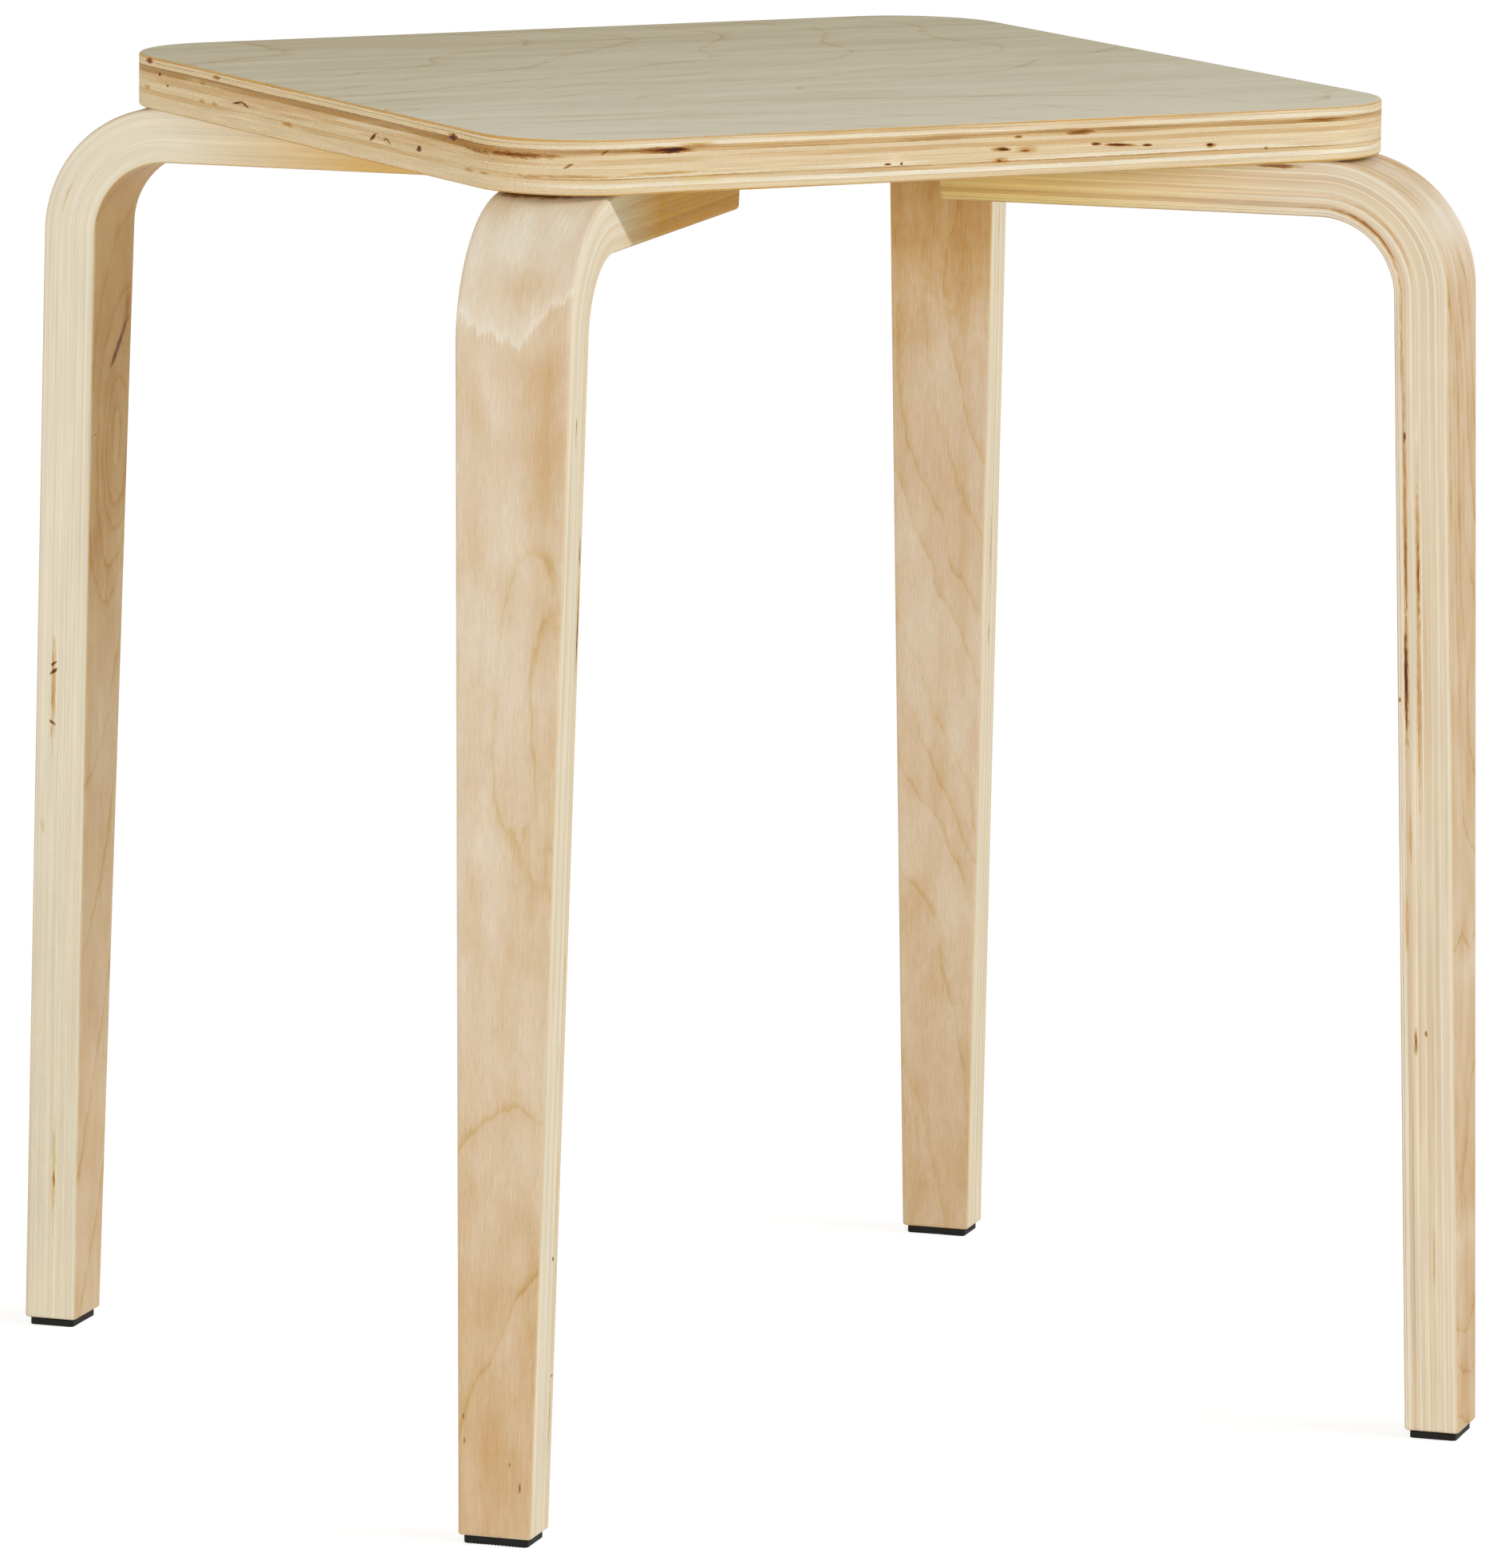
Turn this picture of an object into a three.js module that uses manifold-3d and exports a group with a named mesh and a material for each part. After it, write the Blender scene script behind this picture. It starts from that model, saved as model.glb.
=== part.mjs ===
// Stacking stool: a square plywood seat on four bent laminated legs.
// Millimetres, +Z up, with the origin on the floor under the middle of the seat.
// The seat's sides run along X and Y, and the legs stand on its diagonals.

import * as THREE from "three";
import { mergeVertices, toCreasedNormals } from "three/addons/utils/BufferGeometryUtils.js";
import Module from "manifold-3d";

const wasm = await Module();
wasm.setup();

// Overall height, from the floor to the top of the seat
const stoolHeight = 450;

// Seat
const seatSide = 330;
const seatThickness = 18;
const seatCornerRadius = 37;
const seatArris = 1;

// Leg: a flat arm under the seat, a bend, and a leg that leans out and narrows to the foot.
// Reaches are measured along the seat's diagonal from the middle of the stool. The leg's reach
// is that of its outer face, where that face's slope would meet the seat's underside.
const legReach = 247;
const legThickness = 19;
const legBendRadius = 45;
const legSplayDegrees = 1.55;
const legTopWidth = 39;
const legFootWidth = 25;
const legArris = 1.6;
const legEndArris = 1;
const armEndReach = 71;
const armEndSlopeDegrees = 6;

// Rubber pad under the foot
const padThickness = 2.5;
const padInset = 1.5;
const padCornerRadius = 1.5;
const padArris = 0.4;

// Button-head bolts with a hex socket, two in each arm
const boltDiameter = 6;
const boltTipChamfer = 0.8;
const boltTipSetback = 1;
const boltHeadDiameter = 10.5;
const boltHeadFaceDiameter = 6;
const boltHeadHeight = 3.3;
const socketAcrossFlats = 4;
const socketDepth = 2;
const innerBoltSetback = 27;
const boltSpacing = 75;

// Washers under the bolt heads
const washerOverhang = 0.75;
const washerThickness = 1.6;

// Threaded insert nuts, let into the seat from below, with a flange that lies flush
const insertLength = 10;
const insertWall = 2;
const insertFlangeOverhang = 1.5;
const insertFlangeThickness = 1.2;

// Clearances
const seatedGap = 0.3;
const boltHoleClearance = 0.5;
const counterboreClearance = 0.5;
const headRecess = 0.6;
const insertHoleEndGap = 1;

// Counts of facets
const bendSteps = 14;
const arrisSteps = 2;
const endSteps = 2;
const seatCornerSteps = 10;
const padCornerSteps = 3;
const roundSides = 18;
const headDomeSteps = 3;
const hexSides = 6;

// A cut starts this far outside the wood, so that none of its faces lies on a face of the piece
const cutOverrun = 2;
const mergeTolerance = 0.0001;
const creaseDegrees = 35;

const quarterTurn = Math.PI / 2;
const splay = THREE.MathUtils.degToRad(legSplayDegrees);
const armEndSlope = THREE.MathUtils.degToRad(armEndSlopeDegrees);

// Heights and reaches that follow from the sizes
const seatUnderside = stoolHeight - seatThickness;
const armTop = seatUnderside - seatedGap;
const armUnderside = armTop - legThickness;
const footHeight = padThickness + seatedGap;
const bendCentreHeight = armTop - legBendRadius;
const bendCentreReach = legReach - (legBendRadius * (1 - Math.sin(splay))) / Math.cos(splay);
const bendMiddleRadius = legBendRadius - legThickness / 2;
const bendEndHeight = bendCentreHeight + bendMiddleRadius * Math.sin(splay);
const bendEndReach = bendCentreReach + bendMiddleRadius * Math.cos(splay);

// The bolt's stack, from the arm's underside up into the seat
const washerDiameter = boltHeadDiameter + 2 * washerOverhang;
const counterboreRadius = washerDiameter / 2 + counterboreClearance;
const counterboreDepth = headRecess + boltHeadHeight + washerThickness + 2 * seatedGap;
const counterboreFloor = armUnderside + counterboreDepth;
const washerTop = counterboreFloor - seatedGap;
const washerBottom = washerTop - washerThickness;
const boltHeadTop = washerBottom - seatedGap;
const boltHeadBottom = boltHeadTop - boltHeadHeight;
const boltHoleRadius = boltDiameter / 2 + boltHoleClearance;
const insertBoreRadius = boltDiameter / 2 + seatedGap;
const insertRadius = insertBoreRadius + insertWall;
const insertFlangeRadius = insertRadius + insertFlangeOverhang;
const insertTop = seatUnderside + insertLength;
const boltTip = insertTop - boltTipSetback;
const boltReaches = {
  inner: armEndReach + innerBoltSetback,
  outer: armEndReach + innerBoltSetback + boltSpacing,
};

// The four corners, each by the direction of its diagonal. The front is towards -Y.
const cornerAngles = {
  back_right: quarterTurn / 2,
  back_left: quarterTurn + quarterTurn / 2,
  front_left: 2 * quarterTurn + quarterTurn / 2,
  front_right: 3 * quarterTurn + quarterTurn / 2,
};

const seatPlywood = new THREE.MeshStandardMaterial({ color: 0xbdb59c, roughness: 0.55, metalness: 0 });
const legBirch = new THREE.MeshStandardMaterial({ color: 0xdcc8a6, roughness: 0.5, metalness: 0 });
const blackRubber = new THREE.MeshStandardMaterial({ color: 0x2b2823, roughness: 0.85, metalness: 0 });
const zincSteel = new THREE.MeshStandardMaterial({ color: 0xb9bbbd, roughness: 0.35, metalness: 1 });

// A closed geometry as a solid that can be cut. Triangles that shrink to a line, where a
// revolved profile meets its axis, are left out.
function solidFrom(geometry) {
  const bare = new THREE.BufferGeometry();
  bare.setAttribute("position", geometry.getAttribute("position"));
  bare.setIndex(geometry.index);
  const merged = mergeVertices(bare, mergeTolerance);
  const kept = [];
  for (let i = 0; i < merged.index.count; i += 3) {
    const [a, b, c] = merged.index.array.slice(i, i + 3);
    if (a !== b && b !== c && c !== a) kept.push(a, b, c);
  }
  return new wasm.Manifold(
    new wasm.Mesh({
      numProp: 3,
      vertProperties: new Float32Array(merged.getAttribute("position").array),
      triVerts: new Uint32Array(kept),
    }),
  );
}

function geometryFrom(solid) {
  const mesh = solid.getMesh();
  const geometry = new THREE.BufferGeometry();
  geometry.setAttribute("position", new THREE.BufferAttribute(mesh.vertProperties, 3));
  geometry.setIndex(new THREE.BufferAttribute(mesh.triVerts, 1));
  return toCreasedNormals(geometry, THREE.MathUtils.degToRad(creaseDegrees));
}

function cutFrom(geometry, tools) {
  let solid = solidFrom(geometry);
  for (const tool of tools) solid = solid.subtract(solidFrom(tool));
  return geometryFrom(solid);
}

// A bar along Z between two heights, round or with flat sides, standing at the place (x, y)
function uprightBar(radius, bottom, top, x, y, sides) {
  const bar = new THREE.CylinderGeometry(radius, radius, top - bottom, sides);
  bar.rotateX(quarterTurn);
  bar.translate(x, y, (bottom + top) / 2);
  return bar;
}

// A profile of [radius, height] pairs revolved about Z. It runs outwards along the bottom, up,
// and back in along the top, from axis to axis or round to its own start.
function revolved(profile) {
  const points = profile.map(([radius, height]) => new THREE.Vector2(radius, height));
  const lathe = new THREE.LatheGeometry(points, roundSides);
  lathe.rotateX(quarterTurn);
  return geometryFrom(solidFrom(lathe));
}

// A flat slab with rounded corners and rounded upper and lower arrises, standing on z = bottom
function slab(width, depth, thickness, cornerRadius, arris, cornerSteps, bottom) {
  const x = width / 2 - cornerRadius;
  const y = depth / 2 - cornerRadius;
  const outline = new THREE.Shape();
  outline.absarc(x, y, cornerRadius, 0, quarterTurn);
  outline.absarc(-x, y, cornerRadius, quarterTurn, 2 * quarterTurn);
  outline.absarc(-x, -y, cornerRadius, 2 * quarterTurn, 3 * quarterTurn);
  outline.absarc(x, -y, cornerRadius, 3 * quarterTurn, 4 * quarterTurn);
  const geometry = new THREE.ExtrudeGeometry(outline, {
    depth: thickness - 2 * arris,
    bevelThickness: arris,
    bevelSize: arris,
    bevelOffset: -arris,
    bevelSegments: arrisSteps,
    curveSegments: cornerSteps,
  });
  geometry.translate(0, 0, bottom + arris);
  return geometry;
}

// A closed skin over a row of rings that all have as many points. Each ring runs anticlockwise
// as seen from the next one, and a fan about its middle closes each end.
function loft(rings) {
  const size = rings[0].length;
  const points = rings.flat();
  const faces = [];
  for (let ring = 0; ring + 1 < rings.length; ring += 1) {
    for (let i = 0; i < size; i += 1) {
      const here = ring * size + i;
      const next = ring * size + ((i + 1) % size);
      faces.push(here, next, next + size, here, next + size, here + size);
    }
  }
  const lastRing = (rings.length - 1) * size;
  const middles = [rings[0], rings.at(-1)].map((ring) =>
    ring.reduce((sum, point) => sum.add(point), new THREE.Vector3()).divideScalar(size),
  );
  const startMiddle = points.length;
  const endMiddle = startMiddle + 1;
  for (let i = 0; i < size; i += 1) {
    const next = (i + 1) % size;
    faces.push(startMiddle, next, i, endMiddle, lastRing + i, lastRing + next);
  }
  const geometry = new THREE.BufferGeometry().setFromPoints([...points, ...middles]);
  geometry.setIndex(faces);
  return geometry;
}

// Seat: a plywood square, with blind stepped holes in its underside for the insert nuts
function seatPanel() {
  const panel = slab(
    seatSide,
    seatSide,
    seatThickness,
    seatCornerRadius,
    seatArris,
    seatCornerSteps,
    seatUnderside,
  );
  const mouth = seatUnderside - cutOverrun;
  const flangeSeat = seatUnderside + insertFlangeThickness + seatedGap;
  const holeEnd = insertTop + insertHoleEndGap;
  const holes = [];
  for (const angle of Object.values(cornerAngles)) {
    for (const reach of Object.values(boltReaches)) {
      const x = reach * Math.cos(angle);
      const y = reach * Math.sin(angle);
      holes.push(uprightBar(insertRadius + seatedGap, mouth, holeEnd, x, y, roundSides));
      holes.push(uprightBar(insertFlangeRadius + seatedGap, mouth, flangeSeat, x, y, roundSides));
    }
  }
  return cutFrom(panel, holes);
}

// One cross-section of the leg as pairs of numbers, across its width and through its thickness
// towards the outer face. The inset draws the section in where an end is rounded.
function legSection(width, inset) {
  const radius = legArris - inset;
  const across = width / 2 - inset - radius;
  const through = legThickness / 2 - inset - radius;
  const signs = [
    [1, 1],
    [-1, 1],
    [-1, -1],
    [1, -1],
  ];
  return signs.flatMap(([side, face], corner) =>
    Array.from({ length: arrisSteps + 1 }, (_, step) => {
      const turn = quarterTurn * (corner + step / arrisSteps);
      return [side * across + radius * Math.cos(turn), face * through + radius * Math.sin(turn)];
    }),
  );
}

// The rounding of an end, from its flat face on: how far in from the end a section lies, and
// how far it is drawn in there
function roundedEnd() {
  return Array.from({ length: endSteps + 1 }, (_, step) => {
    const turn = (quarterTurn * step) / endSteps;
    return [legEndArris * (1 - Math.cos(turn)), legEndArris * (1 - Math.sin(turn))];
  });
}

// The leg's width at a height: the arm's width down to the end of the bend, then a straight taper
function legWidth(height) {
  const share = Math.min(1, (bendEndHeight - height) / (bendEndHeight - footHeight));
  return THREE.MathUtils.lerp(legTopWidth, legFootWidth, share);
}

// The reach of the middle of the leg's thickness at a height below the bend
function legMiddleReach(height) {
  return bendEndReach + (bendEndHeight - height) * Math.tan(splay);
}

// Leg with X along the diagonal, Y across and Z up: sections along the arm, round the bend and
// down to the foot, which is cut level. Two stepped holes take the bolts from below.
function leg() {
  const rings = [];
  for (const [offset, inset] of roundedEnd()) {
    rings.push(
      legSection(legTopWidth, inset).map(([across, through]) => {
        const below = legThickness / 2 - through;
        const reach = armEndReach + offset + below * Math.tan(armEndSlope);
        return new THREE.Vector3(reach, across, armTop - below);
      }),
    );
  }
  for (let step = 0; step <= bendSteps; step += 1) {
    const turn = ((quarterTurn - splay) * step) / bendSteps;
    rings.push(
      legSection(legTopWidth, 0).map(([across, through]) => {
        const radius = bendMiddleRadius + through;
        const reach = bendCentreReach + radius * Math.sin(turn);
        return new THREE.Vector3(reach, across, bendCentreHeight + radius * Math.cos(turn));
      }),
    );
  }
  for (const [offset, inset] of roundedEnd().reverse()) {
    const height = footHeight + offset;
    rings.push(
      legSection(legWidth(height), inset).map(([across, through]) => {
        const reach = legMiddleReach(height) + through / Math.cos(splay);
        return new THREE.Vector3(reach, across, height);
      }),
    );
  }
  const holes = Object.values(boltReaches).flatMap((reach) => [
    uprightBar(boltHoleRadius, armUnderside - cutOverrun, armTop + cutOverrun, reach, 0, roundSides),
    uprightBar(counterboreRadius, armUnderside - cutOverrun, counterboreFloor, reach, 0, roundSides),
  ]);
  return cutFrom(loft(rings), holes);
}

// Pad: a rubber slab a little smaller than the foot that it is bonded to
function footPad() {
  const length = legThickness / Math.cos(splay) - 2 * padInset;
  const width = legFootWidth - 2 * padInset;
  const pad = slab(length, width, padThickness, padCornerRadius, padArris, padCornerSteps, 0);
  return geometryFrom(solidFrom(pad));
}

// Bolt: head down, its dome a quarter of an ellipse from the flat face to the rim
function bolt() {
  const faceRadius = boltHeadFaceDiameter / 2;
  const headRadius = boltHeadDiameter / 2;
  const shankRadius = boltDiameter / 2;
  const dome = Array.from({ length: headDomeSteps + 1 }, (_, step) => {
    const turn = (quarterTurn * step) / headDomeSteps;
    const radius = faceRadius + (headRadius - faceRadius) * Math.sin(turn);
    return [radius, boltHeadTop - boltHeadHeight * Math.cos(turn)];
  });
  const body = revolved([
    [0, boltHeadBottom],
    ...dome,
    [shankRadius, boltHeadTop],
    [shankRadius, boltTip - boltTipChamfer],
    [shankRadius - boltTipChamfer, boltTip],
    [0, boltTip],
  ]);
  const socketRadius = socketAcrossFlats / 2 / Math.cos(Math.PI / hexSides);
  const socketEnd = boltHeadBottom + socketDepth;
  return cutFrom(body, [
    uprightBar(socketRadius, boltHeadBottom - cutOverrun, socketEnd, 0, 0, hexSides),
  ]);
}

function washer() {
  return revolved([
    [boltHoleRadius, washerBottom],
    [washerDiameter / 2, washerBottom],
    [washerDiameter / 2, washerTop],
    [boltHoleRadius, washerTop],
    [boltHoleRadius, washerBottom],
  ]);
}

// Insert nut: a flanged sleeve, open at both ends
function insertNut() {
  const flangeTop = seatUnderside + insertFlangeThickness;
  return revolved([
    [insertBoreRadius, seatUnderside],
    [insertFlangeRadius, seatUnderside],
    [insertFlangeRadius, flangeTop],
    [insertRadius, flangeTop],
    [insertRadius, insertTop],
    [insertBoreRadius, insertTop],
    [insertBoreRadius, seatUnderside],
  ]);
}

function place(parent, name, geometry, material, reach = 0) {
  const mesh = new THREE.Mesh(geometry, material);
  mesh.name = name;
  mesh.position.x = reach;
  parent.add(mesh);
}

const legGeometry = leg();
const padGeometry = footPad();
const boltGeometry = bolt();
const washerGeometry = washer();
const insertGeometry = insertNut();

const stool = new THREE.Group();
place(stool, "seat_panel", seatPanel(), seatPlywood);
for (const [corner, angle] of Object.entries(cornerAngles)) {
  const quarter = new THREE.Group();
  quarter.rotation.z = angle;
  stool.add(quarter);
  place(quarter, `leg_${corner}`, legGeometry, legBirch);
  place(quarter, `foot_pad_${corner}`, padGeometry, blackRubber, legMiddleReach(footHeight));
  for (const [row, reach] of Object.entries(boltReaches)) {
    place(quarter, `bolt_${corner}_${row}`, boltGeometry, zincSteel, reach);
    place(quarter, `washer_${corner}_${row}`, washerGeometry, zincSteel, reach);
    place(quarter, `insert_${corner}_${row}`, insertGeometry, zincSteel, reach);
  }
}

export default stool;
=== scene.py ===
import math

import bmesh
import bpy
import numpy as np
from mathutils import Matrix, Vector
from mathutils.geometry import tessellate_polygon


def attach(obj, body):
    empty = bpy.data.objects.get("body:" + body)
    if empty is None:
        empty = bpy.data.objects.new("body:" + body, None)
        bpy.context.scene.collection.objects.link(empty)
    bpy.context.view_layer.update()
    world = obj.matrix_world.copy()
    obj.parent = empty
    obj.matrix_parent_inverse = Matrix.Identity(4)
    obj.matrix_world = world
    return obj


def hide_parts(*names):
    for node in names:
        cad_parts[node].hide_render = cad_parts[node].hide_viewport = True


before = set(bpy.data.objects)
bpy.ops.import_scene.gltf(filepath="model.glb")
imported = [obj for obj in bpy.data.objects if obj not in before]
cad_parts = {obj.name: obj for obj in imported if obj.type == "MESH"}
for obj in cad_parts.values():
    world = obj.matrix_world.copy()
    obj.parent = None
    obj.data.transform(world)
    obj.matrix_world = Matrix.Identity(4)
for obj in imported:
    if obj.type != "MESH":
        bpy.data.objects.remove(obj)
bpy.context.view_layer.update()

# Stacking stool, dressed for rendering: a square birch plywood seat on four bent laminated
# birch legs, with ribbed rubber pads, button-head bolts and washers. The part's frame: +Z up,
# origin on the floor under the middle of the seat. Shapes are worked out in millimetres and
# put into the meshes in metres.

MM = 0.001

# Seat
STOOL_HEIGHT = 450
SEAT_SIDE = 330
SEAT_THICKNESS = 18
SEAT_CORNER_RADIUS = 37
SEAT_ARRIS = 1
SEAT_UNDERSIDE = STOOL_HEIGHT - SEAT_THICKNESS

# Leg, in its own frame: X outwards along the seat's diagonal, Y across, Z up
LEG_REACH = 247
LEG_THICKNESS = 19
LEG_BEND_RADIUS = 45
LEG_SPLAY = math.radians(1.55)
LEG_TOP_WIDTH = 39
LEG_FOOT_WIDTH = 25
LEG_ARRIS = 1.6
LEG_END_ARRIS = 1
ARM_END_REACH = 71
ARM_END_SLOPE = math.radians(6)
SEATED_GAP = 0.3
ARM_TOP = SEAT_UNDERSIDE - SEATED_GAP
ARM_UNDERSIDE = ARM_TOP - LEG_THICKNESS
ARM_MIDDLE = ARM_TOP - LEG_THICKNESS / 2
BEND_CENTRE_HEIGHT = ARM_TOP - LEG_BEND_RADIUS
BEND_CENTRE_REACH = LEG_REACH - LEG_BEND_RADIUS * (1 - math.sin(LEG_SPLAY)) / math.cos(LEG_SPLAY)
BEND_MIDDLE_RADIUS = LEG_BEND_RADIUS - LEG_THICKNESS / 2
BEND_END_HEIGHT = BEND_CENTRE_HEIGHT + BEND_MIDDLE_RADIUS * math.sin(LEG_SPLAY)
BEND_END_REACH = BEND_CENTRE_REACH + BEND_MIDDLE_RADIUS * math.cos(LEG_SPLAY)
BEND_TURN = math.pi / 2 - LEG_SPLAY

# Rubber pad
PAD_THICKNESS = 2.5
PAD_INSET = 1.5
PAD_CORNER_RADIUS = 1.5
PAD_ARRIS = 0.4
PAD_RIB_PITCH = 1.2
PAD_RIB_DEPTH = 0.2
FOOT_HEIGHT = PAD_THICKNESS + SEATED_GAP

# Distances along the middle of the leg's thickness, from the end of its arm
BEND_START_ALONG = BEND_CENTRE_REACH - ARM_END_REACH
BEND_END_ALONG = BEND_START_ALONG + BEND_MIDDLE_RADIUS * BEND_TURN
LEG_LENGTH = BEND_END_ALONG + (BEND_END_HEIGHT - FOOT_HEIGHT) / math.cos(LEG_SPLAY)

# Bolts, washers and the holes for them and for the insert nuts
BOLT_RADIUS = 3
BOLT_TIP_CHAMFER = 0.8
BOLT_TIP = SEAT_UNDERSIDE + 9
BOLT_HEAD_RADIUS = 5.25
BOLT_HEAD_FACE_RADIUS = 3
BOLT_HEAD_HEIGHT = 3.3
SOCKET_ACROSS_FLATS = 4
SOCKET_DEPTH = 2
SOCKET_CHAMFER = 0.15
WASHER_RADIUS = 6
WASHER_THICKNESS = 1.6
WASHER_CHAMFER = 0.2
BOLT_HOLE_RADIUS = 3.5
COUNTERBORE_RADIUS = 6.5
COUNTERBORE_FLOOR = ARM_UNDERSIDE + 6.1
WASHER_TOP = COUNTERBORE_FLOOR - SEATED_GAP
BOLT_HEAD_TOP = WASHER_TOP - WASHER_THICKNESS - SEATED_GAP
BOLT_HEAD_BOTTOM = BOLT_HEAD_TOP - BOLT_HEAD_HEIGHT
BOLT_REACHES = {"inner": 98, "outer": 173}
FLANGE_HOLE_RADIUS = 7.1
FLANGE_HOLE_DEPTH = 1.5
INSERT_HOLE_RADIUS = 5.6
INSERT_HOLE_DEPTH = 11

# How finely the surfaces are drawn, by the spacing or the number of their points. A margin is how
# far a flat's last points lie from its rounded arris or its bend, which keeps its shading flat.
CREASE_ANGLE = math.radians(35)
SEAT_FLAT_SPACING = 5
SEAT_FLAT_MARGIN = 1.5
SEAT_CORNER_STEPS = 24
SEAT_ARRIS_STEPS = 6
SEAT_TOP_ROWS = 62
SEAT_FIRST_ROW_SHARE = 0.012
SEAT_EDGE_ROWS = 5
SEAT_EDGE_MARGIN = 0.4
HOLE_SIDES = 40
LEG_FACE_SPACING = 1.5
LEG_SIDE_SPACING = 4
LEG_FLAT_MARGIN = 0.3
LEG_ARRIS_STEPS = 6
LEG_END_STEPS = 5
ARM_END_MARGIN = 5
ARM_BEND_MARGIN = 1
ARM_SECTION_SPACING = 2
ARM_REACHES = np.arange(ARM_END_REACH + ARM_END_MARGIN, BEND_CENTRE_REACH - ARM_BEND_MARGIN,
                        ARM_SECTION_SPACING)
BEND_STEPS = 48
LEG_SECTION_SPACING = 2.5
LEG_SECTION_MARGIN = 0.4
HOLE_WINDOW_HALF_LENGTH = 9
PAD_SOLE_POINTS = 155
PAD_TOP_POINTS = 9
PAD_MIDDLE_SECTIONS = 7
PAD_FLAT_SHARE = 0.8
PAD_ARRIS_STEPS = 4
PAD_CORNER_STEPS = 6
LATHE_SIDES = 48
DOME_STEPS = 12

# Growth rings: the unit that their spline counts in, how far it smooths their points, the step
# that their slope is taken over, and their least and greatest spacing
RING_UNIT = 20
RING_SMOOTHING_SHARE = 0.001
RING_SLOPE_STEP = 0.5
RING_SPACINGS = (4, 60)
TINY = 1e-12

# The corners' diagonals. The front is towards -Y.
CORNER_ANGLES = {
    "back_right": math.radians(45),
    "back_left": math.radians(135),
    "front_left": math.radians(225),
    "front_right": math.radians(315),
}


# Shapes


def rounded_columns(corner_steps, x_shares, y_shares):
    """Columns round a rectangle with rounded corners, anticlockwise from its +X side.

    Gives two arrays of pairs. The first is the centre of each column's rounding, as shares of the
    rectangle's half sides less the radius, and the second the column's outward direction. A point
    of the outline is half side x centre + radius x direction. The shares space the columns along
    the flats that run in X and in Y.
    """
    signs = np.array([[1, 1], [-1, 1], [-1, -1], [1, -1], [1, 1]], float)
    centres, turns = [], []
    for corner in range(4):
        start = math.pi / 2 * corner
        centres.append(np.repeat(signs[corner : corner + 1], corner_steps + 1, axis=0))
        turns.append(start + np.linspace(0, math.pi / 2, corner_steps + 1))
        shares = (x_shares if corner % 2 == 0 else y_shares)[:, None]
        centres.append(signs[corner] * (1 - shares) + signs[corner + 1] * shares)
        turns.append(np.full(len(shares), start + math.pi / 2))
    turns = np.concatenate(turns)
    return np.concatenate(centres), np.stack([np.cos(turns), np.sin(turns)], axis=-1)


def spaced(length, spacing, margin):
    """Shares of a flat's length at an even spacing, with one close to each end.

    The two close ones keep the flat's shading flat right up to its rounded arrises.
    """
    inner = np.linspace(0, 1, max(2, round(length / spacing)) + 1)[1:-1]
    return np.concatenate([[margin / length], inner, [1 - margin / length]])


def quarter_round(steps, radius):
    """How far in from the side, and how far down from the face, a rounded arris lies."""
    turn = np.linspace(0, math.pi / 2, steps + 1)
    return radius * (1 - np.sin(turn)), radius * (1 - np.cos(turn))


def grid_faces(rows, columns, first=0, closed_rows=False):
    """Quads of a grid whose columns run round and join up, as rows of four point numbers."""
    row, column = np.meshgrid(np.arange(rows if closed_rows else rows - 1), np.arange(columns),
                              indexing="ij")
    next_row, next_column = (row + 1) % rows, (column + 1) % columns
    corners = [row * columns + column, row * columns + next_column,
               next_row * columns + next_column, next_row * columns + column]
    return first + np.stack(corners, axis=-1).reshape(-1, 4)


def fan_faces(loop, middle):
    """Triangles from each side of a loop of point numbers to a point in its middle."""
    loop = np.asarray(loop)
    return np.stack([loop, np.roll(loop, -1), np.full(len(loop), middle)], axis=-1)


def turned(points, angle):
    """Points turned about Z."""
    cos, sin = math.cos(angle), math.sin(angle)
    return np.stack([points[..., 0] * cos - points[..., 1] * sin,
                     points[..., 0] * sin + points[..., 1] * cos,
                     points[..., 2]], axis=-1)


def growth_rings(rings, stretch):
    """Counts growth rings over a face, so that each ring's line is where the count is whole.

    rings gives points on the face as (count, [(along, across), ...]). A thin plate spline through
    them all gives the count anywhere: the sum over the points of weight x r^2 log r, plus a plane.
    The distance r counts lengths along the grain stretch times shorter than those across it.
    """
    known = np.array([place for _, line in rings for place in line], float)
    counts = np.array([count for count, line in rings for _ in line], float)
    scale = np.array([1 / stretch, 1]) / RING_UNIT

    def bend(from_places):
        apart = (from_places[:, None, :] - known[None, :, :]) * scale
        square = np.maximum((apart**2).sum(axis=-1), TINY)
        return square * np.log(square) / 2

    plane = np.column_stack([np.ones(len(known)), known * scale])
    stiffness = bend(known) + RING_SMOOTHING_SHARE * np.eye(len(known))
    system = np.block([[stiffness, plane], [plane.T, np.zeros((3, 3))]])
    weights = np.linalg.solve(system, np.concatenate([counts, np.zeros(3)]))

    def count_at(places):
        flat = np.column_stack([np.ones(len(places)), places * scale])
        return bend(places) @ weights[:-3] + flat @ weights[-3:]

    return count_at


def counted(count_at, places):
    """The ring count at each place, and how far apart the rings are there."""
    count = count_at(places)
    along_rise = count_at(places + [RING_SLOPE_STEP, 0]) - count
    across_rise = count_at(places + [0, RING_SLOPE_STEP]) - count
    rise = np.maximum(np.hypot(along_rise, across_rise), TINY)
    return count, np.clip(RING_SLOPE_STEP / rise, *RING_SPACINGS)


def blotches(places, patches):
    """Pale or tan patches over a face: the sum of soft ovals, each tone x exp(-distance^2)."""
    patches = np.array(patches, float)
    apart = (places[:, None, :] - patches[None, :, :2]) / patches[None, :, 2:4]
    return (np.exp(-(apart**2).sum(axis=-1)) * patches[None, :, 4]).sum(axis=-1)


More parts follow.
